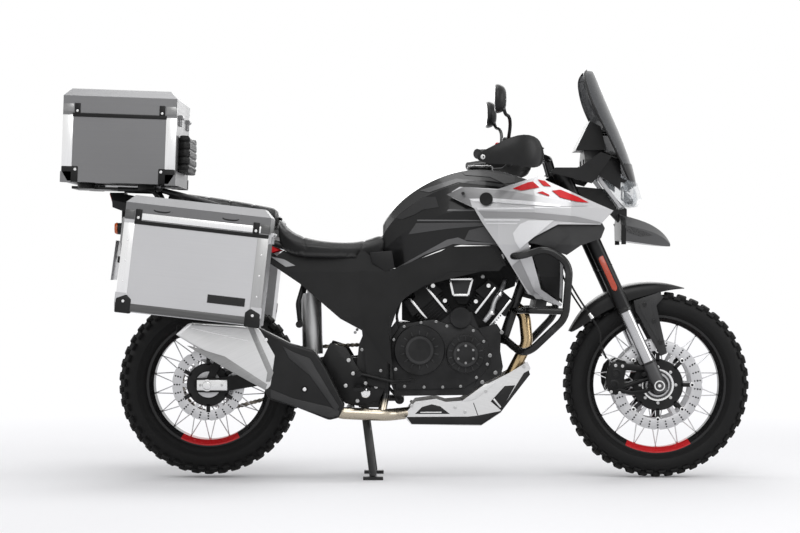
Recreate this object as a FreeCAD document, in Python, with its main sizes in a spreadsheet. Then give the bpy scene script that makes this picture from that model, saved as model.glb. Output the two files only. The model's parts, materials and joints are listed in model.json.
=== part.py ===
"""Adventure touring motorcycle with aluminium cases, as a parametric document.

The machine stands upright on its centre stand. X points forward, Y to the rider's left and Z up.
The origin is on the ground, in the centre plane, half way along the overall length.
Places on the side of the machine are shares of the wheelbase, measured forward from the rear
axle and up from the ground.
"""
import FreeCAD, Part
import math
import os
import Sketcher

Vector = FreeCAD.Vector
X_AXIS = Vector(1, 0, 0)
Y_AXIS = Vector(0, 1, 0)
Z_AXIS = Vector(0, 0, 1)

# Driving dimensions in millimetres and degrees, and counts
DRIVING = {
    # stance
    "wheelbase": 1580, "rear_reach": 509, "rear_lift": 10, "rake": 24.5, "fork_offset": 30,
    "steering_stop": 34, "steering_gap": 6, "clearance": 0.3, "running_fit": 0.05, "overrun": 40,
    # wheels
    "front_tyre_radius": 329, "front_tyre_width": 112, "front_rim_radius": 241, "front_rim_width": 76,
    "rear_tyre_radius": 321, "rear_tyre_width": 150, "rear_rim_radius": 216, "rear_rim_width": 106,
    "rim_depth": 19, "rim_wall": 4, "rim_flange": 8, "lug_depth": 7, "lug_gap": 9, "lug_rib": 9,
    "lug_count": 26, "spoke_pairs": 9,
    "tyre_shoulder": 34, "tyre_crown_drop": 9, "bead_width": 14,
    "spoke_radius": 1.9, "hub_radius": 30, "hub_flange_radius": 52, "hub_flange_thickness": 6,
    "front_hub_width": 96, "rear_hub_width": 120, "front_axle_radius": 12.5, "rear_axle_radius": 14,
    "axle_bore_radius": 7, "axle_head_radius": 19, "axle_head_length": 7,
    "front_disc_radius": 158, "front_disc_band": 36, "rear_disc_radius": 127, "rear_disc_band": 34,
    "disc_thickness": 5, "disc_wave": 3, "disc_waves": 12, "disc_arms": 6, "disc_hole_radius": 3.5,
    "disc_bolt_radius": 5, "disc_gap": 5.2,
    "front_disc_offset": 66, "rear_disc_offset": 84, "sprocket_offset": 92,
    "sprocket_radius": 93, "sprocket_thickness": 6, "sprocket_tooth": 7, "sprocket_teeth": 42,
    "sprocket_windows": 6,
    # fork and steering
    "fork_spacing": 210, "fork_tube_radius": 26, "fork_slider_radius": 21.5, "fork_length": 815,
    "fork_slider_reach": 285, "fork_foot_reach": 92, "fork_foot_radius": 25,
    "upper_clamp_reach": 790, "lower_clamp_reach": 580, "clamp_thickness": 34, "clamp_wall": 9,
    "stem_radius": 15, "head_tube_wall": 13, "head_gap": 0.5,
    "bar_radius": 11, "bar_clamp_radius": 14.3, "bar_clamp_length": 110, "bar_half_width": 462,
    "bar_rise": 58, "bar_pullback": 262, "grip_radius": 17, "grip_length": 128,
    "riser_radius": 16, "riser_spacing": 84, "riser_back": 22,
    "mirror_width": 150, "mirror_height": 105, "mirror_depth": 34, "mirror_stalk_radius": 5.5,
    "mirror_out": 405, "guard_wall": 5,
    "fender_wall": 4, "fender_gap": 16, "fender_width": 148, "fender_stay_wall": 4,
    "fender_lead": 73, "fender_sweep": 75,
    "caliper_length": 118, "caliper_depth": 46, "caliper_width": 62, "caliper_lean": 12,
    "rear_caliper_length": 78, "rear_caliper_depth": 42, "rear_caliper_width": 44,
    "rear_caliper_lean": 24,
    # chassis
    "beam_radius": 15, "beam_half_width": 94, "rail_radius": 12, "rail_half_width": 104,
    "down_tube_radius": 14, "down_tube_half_width": 62, "tube_bend": 40, "plate_thickness": 12,
    "pivot_half_width": 104, "pivot_radius": 22, "arm_height": 62, "arm_width": 26,
    "arm_half_width": 132, "shock_spring_radius": 36, "shock_body_radius": 22,
    "chain_width": 18, "chain_height": 15, "chain_pitch": 15.875, "front_sprocket_radius": 40,
    # engine
    "case_half_width": 112, "cover_thickness": 34, "cover_step": 12,
    "clutch_cover_radius": 86, "clutch_boss_radius": 50, "stator_cover_radius": 64, "stator_boss_radius": 44,
    "pump_cover_radius": 36, "cylinder_half_width": 74, "cylinder_length": 168, "cylinder_depth": 116,
    "cylinder_lean": 41, "head_height": 62, "head_margin": 12, "fin_thickness": 4, "fin_pitch": 10,
    "fin_count": 6, "radiator_half_width": 168, "header_radius": 21, "header_half_width": 58,
    "bolt_radius": 5, "intake_half_width": 44, "duct_half_width": 30, "intake_pipe_radius": 13,
    # exhaust silencer
    "silencer_outer": 222, "silencer_inner": 146, "rear_header_out": 131,
    # bodywork
    "panel_wall": 4, "fairing_half_width": 236, "shroud_inset": 14, "tank_half_width": 162,
    "seat_half_width": 165, "cover_half_width": 158, "tail_half_width": 128,
    "nose_half_width": 128, "lamp_half_width": 108, "beak_half_width": 128,
    "screen_wall": 4, "screen_half_width": 178, "dash_half_width": 82,
    "cheek_y": 158, "cheek_wall": 8, "tail_lamp_half_width": 52,
    "plate_half_width": 95, "signal_radius": 19, "signal_out": 150,
    "skid_half_width": 118, "skid_wall": 5,
    # crash bars and racks
    "crash_radius": 13, "crash_half_width": 270, "rack_radius": 8,
    "rack_half_width": 96, "peg_radius": 12, "peg_length": 86, "peg_width": 36,
    # cases
    "case_wall": 2.5, "case_bevel": 30, "lid_bevel": 26, "seal_height": 8, "lid_gap": 0.4,
    "corner_wall": 3, "corner_leg": 34,
    "side_case_length": 486, "side_case_height": 310, "side_case_depth": 232, "side_lid_height": 74,
    "side_case_tilt": 6.5, "side_case_inner": 258,
    "top_case_length": 392, "top_case_height": 238, "top_case_width": 470, "top_lid_height": 76,
    "top_case_tilt": 2, "top_case_lift": 16, "latch_depth": 18, "latch_width": 60, "latch_length": 92,
    "hinge_radius": 7, "hinge_pin_radius": 3, "hinge_length": 60, "pad_thickness": 38,
    # stands
    "stand_radius": 13, "stand_half_width": 124, "stand_pivot_radius": 10, "stand_foot_radius": 15,
    "stand_foot_length": 70, "stand_lead": 34,
    "prop_radius": 12, "prop_length": 236, "prop_gap": 10, "prop_splay": 15,
}

doc = FreeCAD.newDocument("adventure_motorcycle")
sheet = doc.addObject("Spreadsheet::Sheet", "sizes")
for row, (alias, size) in enumerate(DRIVING.items(), 1):
    sheet.set(f"A{row}", alias)
    sheet.set(f"B{row}", str(size))
    sheet.setAlias(f"B{row}", alias)
doc.recompute()


class Size(float):
    """A number from the sheet, or worked out from such numbers, with the text that gives it there."""

    def __new__(cls, number, text):
        made = super().__new__(cls, number)
        made.text = text
        return made

    def __add__(self, other):
        return Size(float(self) + float(other), f"({self.text} + {text_of(other)})")

    def __radd__(self, other):
        return Size(float(other) + float(self), f"({text_of(other)} + {self.text})")

    def __sub__(self, other):
        return Size(float(self) - float(other), f"({self.text} - {text_of(other)})")

    def __rsub__(self, other):
        return Size(float(other) - float(self), f"({text_of(other)} - {self.text})")

    def __mul__(self, other):
        return Size(float(self) * float(other), f"({self.text} * {text_of(other)})")

    def __rmul__(self, other):
        return Size(float(other) * float(self), f"({text_of(other)} * {self.text})")

    def __truediv__(self, other):
        return Size(float(self) / float(other), f"({self.text} / {text_of(other)})")

    def __neg__(self):
        return Size(-float(self), f"(0 - {self.text})")


def text_of(number):
    return number.text if isinstance(number, Size) else f"({float(number):.9f})"


class Sizes:
    """The sheet's values by name, with what several pieces work out from them."""

    def __init__(self):
        for alias in DRIVING:
            setattr(self, alias, Size(sheet.get(alias), f"sizes.{alias}"))
        self.rear_x = (self.rear_reach - self.wheelbase - self.front_tyre_radius) / 2
        self.front_x = self.rear_x + self.wheelbase
        self.rear_z = self.rear_tyre_radius + self.rear_lift
        self.front_z = self.front_tyre_radius


S = Sizes()
NODES = []


def bind(thing, prop, size):
    """Sets a property, tied to the sheet where the size comes from there."""
    if isinstance(size, Size):
        thing.setExpression(prop, size.text)
    else:
        setattr(thing, prop, size)


def add(kind, name, **sizes):
    """A new object of the document with its sizes tied to the sheet."""
    made = doc.addObject(kind, name)
    for prop, size in sizes.items():
        bind(made, prop, size)
    return made


def wrapped(thing):
    """An object of the document for a shape, or the object itself."""
    if hasattr(thing, "Shape"):
        return thing
    made = doc.addObject("Part::Feature", "form")
    made.Shape = thing
    return made


def shape_of(thing):
    """The shape of an object, worked out first where it is new."""
    if not hasattr(thing, "Shape"):
        return thing
    doc.recompute()
    return thing.Shape


def join(things):
    """One solid of several that touch or overlap."""
    if len(things) == 1:
        return wrapped(things[0])
    made = doc.addObject("Part::MultiFuse", "join")
    made.Shapes = [wrapped(t) for t in things]
    made.Refine = False
    return made


def trim(base, *tools):
    """A form less each of the tools."""
    for tool in tools:
        made = doc.addObject("Part::Cut", "trim")
        made.Base = wrapped(base)
        made.Tool = wrapped(tool)
        base = made
    return base


def meet(first, second):
    """What two forms have in common."""
    made = doc.addObject("Part::MultiCommon", "meet")
    made.Shapes = [wrapped(first), wrapped(second)]
    return made


def largest(thing):
    """The largest solid of a form, without the slivers beside it."""
    return wrapped(max(shape_of(thing).Solids, key=lambda s: s.Volume))


def mirror(thing):
    """The same form on the other side of the centre plane."""
    made = doc.addObject("Part::Mirroring", "mirror")
    made.Source = wrapped(thing)
    made.Normal = Y_AXIS
    return made


def group(things):
    """Several forms that stay separate solids."""
    made = doc.addObject("Part::Compound", "group")
    made.Links = [wrapped(t) for t in things]
    return made


def both(thing):
    thing = wrapped(thing)
    return group([thing, mirror(thing)])


def side(x_share, z_share, y=0.0):
    """A point on the side of the machine, from shares of the wheelbase."""
    return Vector(S.rear_x + x_share * S.wheelbase, y, z_share * S.wheelbase)


def node(thing, label):
    """Marks a finished sub-part: its label names its file."""
    thing = wrapped(thing)
    thing.Label = label
    NODES.append(thing)
    return thing


def polygon(points):
    return Part.makePolygon(points + points[:1])


def slab(shares, low, high):
    """A side outline pushed out from one distance off the centre plane to another."""
    face = wrapped(Part.Face(polygon([side(x, z, low) for x, z in shares])))
    made = add("Part::Extrusion", "slab", LengthFwd=high - low)
    made.Base = face
    made.DirMode = "Custom"
    made.Dir = Y_AXIS
    made.Solid = True
    return made


def rod(start, end, radius):
    """A round bar between two points."""
    made = add("Part::Cylinder", "rod", Radius=radius)
    made.Height = (end - start).Length
    made.Placement = FreeCAD.Placement(start, FreeCAD.Rotation(Z_AXIS, end - start))
    return made


def drum(base, radius, length, axis=Y_AXIS):
    """A round bar from its base, with its length tied to the sheet too."""
    made = add("Part::Cylinder", "drum", Radius=radius, Height=length)
    made.Placement = FreeCAD.Placement(base, FreeCAD.Rotation(Z_AXIS, axis))
    return made


def block(corner, length, width, height):
    """A box from its lowest corner."""
    made = add("Part::Box", "block", Length=length, Width=width, Height=height)
    made.Placement.Base = corner
    return made


def tube(points, radius, bend):
    """A round tube through the points, with an arc at each corner as large as its runs allow, up to bend."""
    edges, start = [], points[0]
    for before, corner, after in zip(points, points[1:], points[2:]):
        back, ahead = (before - corner), (after - corner)
        shorter = min(back.Length, ahead.Length)
        back.normalize()
        ahead.normalize()
        half = back.getAngle(ahead) / 2
        arc = min(bend, 0.45 * shorter * math.tan(half))
        enter = corner + back * (arc / math.tan(half))
        leave = corner + ahead * (arc / math.tan(half))
        inward = (back + ahead).normalize()
        middle = corner + inward * (arc / math.sin(half) - arc)
        edges.append(Part.makeLine(start, enter))
        edges.append(Part.Arc(enter, middle, leave).toShape())
        start = leave
    edges.append(Part.makeLine(start, points[-1]))
    path = wrapped(Part.Wire(edges))
    ring = add("Part::Circle", "ring", Radius=radius)
    ring.Placement = FreeCAD.Placement(points[0], FreeCAD.Rotation(Z_AXIS, points[1] - points[0]))
    made = doc.addObject("Part::Sweep", "tube")
    made.Sections = [ring]
    made.Spine = (path, [f"Edge{i + 1}" for i in range(len(edges))])
    made.Solid = True
    made.Frenet = False
    return made


def across(x_share, half_shares, width, inset=0.0):
    """A closed section across the machine, from half of it in shares of a half width and the wheelbase."""
    x = side(x_share, 0).x
    right = [Vector(x, -max(y * width - inset, 0.0), z * S.wheelbase) for y, z in half_shares]
    left = [Vector(x, -p.y, p.z) for p in reversed(right) if p.y < 0]
    return polygon(right + left)


def lofted(stations_shares, width, inset=0.0, ruled=False):
    """A solid through sections across the machine."""
    made = doc.addObject("Part::Loft", "loft")
    made.Sections = [wrapped(across(x, half, width, inset)) for x, half in stations_shares]
    made.Solid = True
    made.Ruled = ruled
    return made


def through(wires, ruled=True):
    """A solid through closed wires."""
    made = doc.addObject("Part::Loft", "loft")
    made.Sections = [wrapped(w) for w in wires]
    made.Solid = True
    made.Ruled = ruled
    return made


def along(reach, ahead=0.0, y=0.0):
    """A point by the fork: so far up from the front axle along the fork, and so far ahead of it."""
    lean = math.radians(S.rake)
    up = Vector(-math.sin(lean), 0, math.cos(lean))
    forward = Vector(math.cos(lean), 0, math.sin(lean))
    return Vector(S.front_x, y, S.front_z) + up * reach + forward * ahead


def fork_direction():
    return along(1) - along(0)


def closed_sketch(body, role, corners, offset=0.0):
    """A sketch of straight edges on a plane of its body, with its corners held to the sheet."""
    sketch = body.newObject("Sketcher::SketchObject", body.Name + "_outline")
    plane = [f for f in body.Origin.OriginFeatures if f.Role == role][0]
    sketch.AttachmentSupport = [(plane, "")]
    sketch.MapMode = "FlatFace"
    if isinstance(offset, Size):
        bind(sketch, "AttachmentOffset.Base.z", offset)
    places = [Vector(a, b, 0) for a, b in corners]
    count = len(places)
    for i in range(count):
        sketch.addGeometry(Part.LineSegment(places[i], places[(i + 1) % count]), False)
    for i in range(count):
        sketch.addConstraint(Sketcher.Constraint("Coincident", i, 2, (i + 1) % count, 1))
    for i, corner in enumerate(corners):
        for way, size in zip(("DistanceX", "DistanceY"), corner):
            held = sketch.addConstraint(Sketcher.Constraint(way, -1, 1, i, 1, float(size)))
            if isinstance(size, Size):
                sketch.setExpression(f"Constraints[{held}]", size.text)
    return sketch


def revolved(label, corners, place):
    """A body turned about its own Y axis from an outline of places across and radii."""
    body = doc.addObject("PartDesign::Body", label)
    sketch = closed_sketch(body, "XY_Plane", [(radius, a) for a, radius in corners])
    turn = body.newObject("PartDesign::Revolution", label + "_turn")
    turn.Profile = sketch
    turn.ReferenceAxis = (sketch, ["V_Axis"])
    turn.Angle = 360
    body.Placement.Base = place
    return body


# Wheels

def tyre(label, radius, width, rim_radius, rim_width, place):
    """A round-shouldered tyre on its beads, turned about the axle."""
    half = [
        (rim_width / 2 - S.rim_wall - S.bead_width, rim_radius),
        (rim_width / 2 - S.rim_wall, rim_radius),
        (rim_width / 2 - S.rim_wall, rim_radius + S.rim_flange + S.clearance),
        (rim_width / 2 + S.rim_wall, rim_radius + S.rim_flange + S.rim_wall),
        (width / 2, rim_radius / 2 + radius / 2),
        (width / 2 - S.tyre_shoulder / 8, radius - S.tyre_shoulder),
        (width / 2 - S.tyre_shoulder / 2, radius - S.tyre_crown_drop - S.tyre_shoulder / 4),
        (width / 4, radius - S.tyre_crown_drop / 4),
    ]
    other = [(-a, b) for a, b in reversed(half)]
    return revolved(label, half + [(0.0, radius)] + other, place)


def tread(radius, width, centre):
    """The slots between a tyre's lugs, staggered on the two sides of its middle rib."""
    slots = []
    count = int(S.lug_count)
    for sign in (-1, 1):
        low = S.lug_rib / 2 if sign > 0 else -width / 2 - S.lug_depth
        for i in range(count):
            slot = Part.makeBox(S.lug_depth * 2, width / 2 + S.lug_depth - S.lug_rib / 2, S.lug_gap,
                                centre + Vector(radius - S.lug_depth, low, -S.lug_gap / 2))
            slots.append(slot.rotate(centre, Y_AXIS, 360 / count * (i + 0.25 * sign)))
    return Part.makeCompound(slots)


def make_tyres():
    front, rear = Vector(S.front_x, 0, S.front_z), Vector(S.rear_x, 0, S.rear_z)
    whole = tyre("front_carcass", S.front_tyre_radius, S.front_tyre_width, S.front_rim_radius,
                 S.front_rim_width, front)
    node(trim(whole, tread(S.front_tyre_radius, S.front_tyre_width, front)), "front_tyre")
    whole = tyre("rear_carcass", S.rear_tyre_radius, S.rear_tyre_width, S.rear_rim_radius, S.rear_rim_width,
                 rear)
    node(trim(whole, tread(S.rear_tyre_radius, S.rear_tyre_width, rear)), "rear_tyre")


def rim_ring(radius, width, centre):
    """The rim's band: a channel that the tyre's beads seat on."""
    half = width / 2
    outline = [
        (half, radius + S.rim_flange), (half - S.rim_wall, radius + S.rim_flange),
        (half - S.rim_wall, radius), (half - S.rim_wall - S.bead_width, radius),
        (half - S.rim_wall - S.bead_width, radius - S.rim_depth + S.rim_wall),
    ]
    inner = [(half - S.bead_width - S.rim_wall, radius - S.rim_depth), (half, radius - S.rim_wall)]
    points = outline + [(-a, b) for a, b in reversed(outline)]
    points += [(-a, b) for a, b in reversed(inner)] + inner
    wire = polygon([centre + Vector(r, y, 0) for y, r in points])
    return Part.Face(wire).revolve(centre, Y_AXIS, 360)


def spoked_wheel(radius, width, hub_width, axle_radius, centre):
    """Hub, crossed spokes and rim as one piece."""
    half = hub_width / 2
    parts = [rim_ring(radius, width, centre)]
    parts.append(Part.makeCylinder(S.hub_radius, hub_width, centre - Y_AXIS * half, Y_AXIS))
    for edge in (-half, half - S.hub_flange_thickness):
        parts.append(Part.makeCylinder(S.hub_flange_radius, S.hub_flange_thickness,
                                       centre + Y_AXIS * edge, Y_AXIS))
    hub_at = S.hub_flange_radius - S.hub_flange_thickness
    rim_at = radius - S.rim_depth + S.rim_wall / 2
    pairs = int(S.spoke_pairs)
    step = 360 / pairs
    cross_share = 1.45
    for i in range(pairs):
        for sign in (-1, 1):
            for way in (-1, 1):
                on_rim = math.radians(step * (i + 0.25 * way + 0.5 * (sign > 0)))
                on_hub = on_rim + math.radians(way * step * cross_share)
                start = centre + Vector(hub_at * math.cos(on_hub), sign * (half - S.hub_flange_thickness / 2),
                                        hub_at * math.sin(on_hub))
                end = centre + Vector(rim_at * math.cos(on_rim), sign * width / 8, rim_at * math.sin(on_rim))
                parts.append(Part.makeCylinder(S.spoke_radius, (end - start).Length, start, end - start))
    bore = Part.makeCylinder(axle_radius + S.running_fit, hub_width, centre - Y_AXIS * half, Y_AXIS)
    return parts[0].multiFuse(parts[1:]).cut(bore)


def make_rims():
    node(spoked_wheel(S.front_rim_radius, S.front_rim_width, S.front_hub_width,
                      S.front_axle_radius, Vector(S.front_x, 0, S.front_z)), "front_rim")
    node(spoked_wheel(S.rear_rim_radius, S.rear_rim_width, S.rear_hub_width,
                      S.rear_axle_radius, Vector(S.rear_x, 0, S.rear_z)), "rear_rim")


def brake_disc(radius, band, inner_radius, middle, centre):
    """A waved, drilled disc with its arms in to the hub, centred at a distance across."""
    base = centre + Y_AXIS * (middle - S.disc_thickness / 2)
    ring = Part.makeCylinder(radius, S.disc_thickness, base, Y_AXIS)
    ring = ring.cut(Part.makeCylinder(radius - band, S.disc_thickness, base, Y_AXIS))
    cuts = []
    waves = int(S.disc_waves)
    for i in range(waves):
        turn = math.radians(360 / waves * i)
        outward = Vector(math.cos(turn), 0, math.sin(turn))
        cuts.append(Part.makeCylinder(band / 2, S.disc_thickness,
                                      base + outward * (radius + band / 2 - S.disc_wave), Y_AXIS))
        skew = turn + math.radians(180 / waves)
        place = base + Vector(math.cos(skew), 0, math.sin(skew)) * (radius - band / 2)
        cuts.append(Part.makeCylinder(S.disc_hole_radius, S.disc_thickness, place, Y_AXIS))
    ring = ring.cut(Part.makeCompound(cuts))
    arms = [Part.makeCylinder(inner_radius, S.disc_thickness, base, Y_AXIS)]
    arm_count = int(S.disc_arms)
    for i in range(arm_count):
        arm = Part.makeBox(radius - band / 2, S.disc_thickness, 2 * S.disc_bolt_radius + S.disc_wave,
                           base - Z_AXIS * S.disc_bolt_radius)
        arms.append(arm.rotate(base, Y_AXIS, 360 / arm_count * i))
    whole = ring.multiFuse(arms)
    return whole.cut(Part.makeCylinder(S.hub_radius, S.disc_thickness, base, Y_AXIS))


def disc_spacer(centre, start, length, bore_radius):
    """The collar between the hub's end and a disc or a sprocket."""
    collar = Part.makeCylinder(S.hub_radius + S.bolt_radius, length, centre + Y_AXIS * start, Y_AXIS)
    return collar.cut(Part.makeCylinder(bore_radius, length, centre + Y_AXIS * start, Y_AXIS))


def make_discs():
    front = Vector(S.front_x, 0, S.front_z)
    half = S.front_hub_width / 2
    reach = S.front_disc_offset - S.disc_thickness / 2 - half
    right = brake_disc(S.front_disc_radius, S.front_disc_band, S.hub_flange_radius + S.bolt_radius,
                       -S.front_disc_offset, front)
    spacer = disc_spacer(front, -half - reach, reach, S.front_axle_radius + S.bolt_radius)
    node(both(right.fuse(spacer)), "front_discs")
    rear = Vector(S.rear_x, 0, S.rear_z)
    half = S.rear_hub_width / 2
    reach = S.rear_disc_offset - S.disc_thickness / 2 - half
    disc = brake_disc(S.rear_disc_radius, S.rear_disc_band, S.hub_flange_radius, -S.rear_disc_offset, rear)
    spacer = disc_spacer(rear, -half - reach, reach, S.rear_axle_radius + S.bolt_radius)
    node(disc.fuse(spacer), "rear_disc")
    make_rear_sprocket(rear, half)


def make_rear_sprocket(rear, half):
    """The toothed chain wheel on the left of the rear hub."""
    base = rear + Y_AXIS * (S.sprocket_offset - S.sprocket_thickness / 2)
    teeth = int(S.sprocket_teeth)
    wheel = Part.makeCylinder(S.sprocket_radius, S.sprocket_thickness, base, Y_AXIS)
    notches = []
    for i in range(teeth):
        turn = math.radians(360 / teeth * i)
        outward = Vector(math.cos(turn), 0, math.sin(turn))
        notches.append(Part.makeCylinder(S.sprocket_tooth * 0.62, S.sprocket_thickness,
                                         base + outward * S.sprocket_radius, Y_AXIS))
    windows = int(S.sprocket_windows)
    for i in range(windows):
        turn = math.radians(360 / windows * i)
        outward = Vector(math.cos(turn), 0, math.sin(turn))
        reach = (S.sprocket_radius + S.hub_flange_radius) / 2
        notches.append(Part.makeCylinder(S.hub_flange_radius / 4, S.sprocket_thickness,
                                         base + outward * reach, Y_AXIS))
    wheel = wheel.cut(Part.makeCompound(notches))
    length = S.sprocket_offset - S.sprocket_thickness / 2 - half
    spacer = Part.makeCylinder(S.hub_radius + S.bolt_radius, length, rear + Y_AXIS * half, Y_AXIS)
    bore = Part.makeCylinder(S.rear_axle_radius + S.bolt_radius, length + S.sprocket_thickness,
                             rear + Y_AXIS * half, Y_AXIS)
    node(wheel.fuse(spacer).cut(bore), "rear_sprocket")


# Steering

def make_fork():
    """Two legs, their feet, both clamps, the steering stem and the front axle."""
    half = S.fork_spacing / 2
    parts = []
    for y in (-half, half):
        parts.append(rod(along(S.fork_slider_reach, y=y), along(S.fork_length, y=y), S.fork_tube_radius))
        parts.append(rod(along(0, y=y), along(S.fork_slider_reach, y=y), S.fork_slider_radius))
        parts.append(rod(along(-S.fork_foot_radius, y=y), along(S.fork_foot_reach, y=y), S.fork_foot_radius))
    for reach in (S.upper_clamp_reach, S.lower_clamp_reach):
        parts += clamp_plate(reach)
    parts.append(rod(along(S.lower_clamp_reach, -S.fork_offset),
                     along(S.upper_clamp_reach + S.clamp_thickness, -S.fork_offset), S.stem_radius))
    axle_half = half + S.fork_foot_radius + S.axle_head_length
    parts.append(drum(along(0, y=-axle_half), S.front_axle_radius, 2 * axle_half))
    bore = drum(along(0, y=-axle_half), S.axle_bore_radius, 2 * axle_half)
    node(trim(join(parts), bore), "fork")


def steering_room(low, high):
    """The space that the fork legs sweep between the stops, with a gap round them."""
    reach = math.hypot(S.fork_spacing / 2, S.fork_offset)
    half = S.fork_tube_radius + S.clamp_wall + S.steering_gap
    up = fork_direction()
    base = along(low, -S.fork_offset)
    forward = along(low) - base
    forward.normalize()
    own = math.degrees(math.atan2(S.fork_spacing / 2, S.fork_offset))
    margin = math.degrees(math.asin(half / reach))
    rooms = []
    for sign in (-1, 1):
        begin = sign * own - S.steering_stop - margin
        start = FreeCAD.Rotation(up, begin).multVec(forward)
        near, far = base + start * (reach - half), base + start * (reach + half)
        rise = up * (high - low)
        face = Part.Face(polygon([near, far, far + rise, near + rise]))
        rooms.append(face.revolve(base, up, 2 * (S.steering_stop + margin)))
    return rooms


def clamp_plate(reach):
    """One triple clamp: a plate round both legs and the stem, square to the fork."""
    half = S.fork_spacing / 2
    outer = S.fork_tube_radius + S.clamp_wall
    up = fork_direction()
    rings = [rod(along(reach, y=y), along(reach + S.clamp_thickness, y=y), outer) for y in (-half, half)]
    base = along(reach, -S.fork_offset)
    centre = rod(base, base + up * S.clamp_thickness, S.stem_radius + S.clamp_wall)
    corners = [along(reach, -S.fork_offset - S.stem_radius, y=-outer), along(reach, S.clamp_wall, y=-half),
               along(reach, S.clamp_wall, y=half), along(reach, -S.fork_offset - S.stem_radius, y=outer)]
    web = Part.Face(polygon(corners)).extrude(up * S.clamp_thickness)
    return rings + [centre, web]


def bar_centre():
    return along(S.upper_clamp_reach + S.clamp_thickness + S.bar_rise, -S.riser_back)


def bar_path(sign):
    """Half of the handlebar: across the clamps, up and out, then back to its end."""
    centre = bar_centre()
    end = centre + Vector(-S.bar_pullback, sign * S.bar_half_width, 0)
    out = centre + Vector(0, sign * S.bar_clamp_length, 0)
    shoulder = Vector(centre.x - S.bar_pullback * 0.3, sign * S.bar_half_width * 0.46,
                      end.z + S.bar_rise * 0.34)
    return [centre, out, shoulder, end]


def grip(sign):
    """Inner end, outer end and inward direction of a grip."""
    points = bar_path(sign)
    back = (points[2] - points[3]).normalize()
    return points[3] + back * S.grip_length, points[3], back


def make_handlebar(fork):
    parts = []
    for sign in (-1, 1):
        parts.append(tube(bar_path(sign), S.bar_radius, S.tube_bend * 2))
        inner, end, back = grip(sign)
        parts.append(rod(inner, end, S.grip_radius))
        parts.append(rod(inner, inner + back * S.grip_length * 0.42, S.grip_radius + S.bar_radius * 0.5))
        perch = inner + back * S.grip_length * 0.6
        tip = end + Vector(S.grip_radius * 3.4, 0, -S.grip_radius * 0.4)
        parts.append(tube([perch, perch + X_AXIS * S.grip_radius * 2.6, tip], S.bar_radius * 0.5,
                          S.tube_bend))
    centre = bar_centre()
    parts.append(rod(centre - Y_AXIS * S.bar_clamp_length / 2, centre + Y_AXIS * S.bar_clamp_length / 2,
                     S.bar_clamp_radius))
    for sign in (-1, 1):
        foot = along(S.upper_clamp_reach + S.clamp_thickness, -S.fork_offset, y=sign * S.riser_spacing / 2)
        parts.append(rod(foot, Vector(centre.x, sign * S.riser_spacing / 2, centre.z), S.riser_radius))
    inner, end, back = grip(-1)
    reservoir = inner + back * S.grip_length * 0.55 + Vector(S.grip_radius, 0, 0)
    parts.append(drum(reservoir, S.grip_radius, S.grip_radius * 2, Z_AXIS))
    node(trim(join(parts), fork), "handlebar")


def make_hand_guards():
    """A wind shield in front of each grip, on a stay from the bar's end."""
    shares = [(-0.10, -0.42), (0.02, 0.30), (0.36, 0.86), (0.66, 0.96), (0.98, 0.30), (0.94, -0.30),
              (0.74, -0.92), (0.36, -0.62), (0.0, -0.60)]
    pieces = []
    for sign in (-1, 1):
        inner, end = grip(sign)[:2]
        length = (inner - end).Length * 1.4
        height = S.grip_length * 0.44
        outer_y = sign * (S.bar_half_width + S.grip_radius * 0.6)
        outline = [Vector(end.x + a * length, outer_y, end.z + b * height) for a, b in shares]
        plate = Part.Face(polygon(outline)).extrude(Vector(0, sign * S.guard_wall, 0))
        front = end.x + length
        bow = [Vector(front - length * 0.34, outer_y, end.z - height * 0.4),
               Vector(front - length * 0.34, outer_y, end.z + height * 0.9),
               Vector(front, outer_y, end.z + height * 0.28),
               Vector(front, outer_y, end.z - height * 0.25)]
        run = Vector(length * 0.22, -sign * S.grip_length * 1.5, 0)
        shield = Part.Face(polygon(bow)).extrude(run)
        hollow = Part.Face(polygon([p - X_AXIS * S.guard_wall for p in bow])).extrude(run * 1.1)
        hollow.translate(run * -0.05)
        stub = Part.makeCylinder(S.bar_radius, abs(outer_y - end.y), end, Y_AXIS * sign)
        pieces.append(join([plate, shield.cut(hollow), stub]))
    node(trim(group(pieces), NODES[-1]), "hand_guards")


def make_mirrors():
    """A mirror head on a curved stalk on each side, its glass facing back."""
    pieces = []
    rim_shares = [(-0.9, -0.8), (-1.0, 0.3), (-0.7, 0.95), (0.5, 1.0), (1.0, 0.5), (0.9, -0.6), (0.5, -1.0),
                  (-0.5, -1.0)]
    for sign in (-1, 1):
        inner, back = grip(sign)[0], grip(sign)[2]
        foot = inner + back * S.grip_length * 0.2 + Z_AXIS * S.grip_radius
        head = Vector(foot.x - S.mirror_height * 0.12, sign * S.mirror_out, foot.z + S.mirror_height * 1.55)
        stalk = tube([foot, foot + Vector(S.mirror_depth * 0.4, sign * S.mirror_depth * 0.3,
                                          S.mirror_height * 0.5),
                      head - Z_AXIS * S.mirror_height * 0.4, head], S.mirror_stalk_radius, S.tube_bend)
        w, h, d = S.mirror_width / 2, S.mirror_height / 2, S.mirror_depth
        rear_ring = [head + Vector(-d / 2, a * w, b * h) for a, b in rim_shares]
        front_ring = [head + Vector(d / 2, a * w * 0.66, b * h * 0.66) for a, b in rim_shares]
        shell = through([polygon(rear_ring), polygon(front_ring)])
        pieces.append(join([stalk, shell]))
    node(trim(group(pieces), NODES[-2]), "mirrors")


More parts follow.
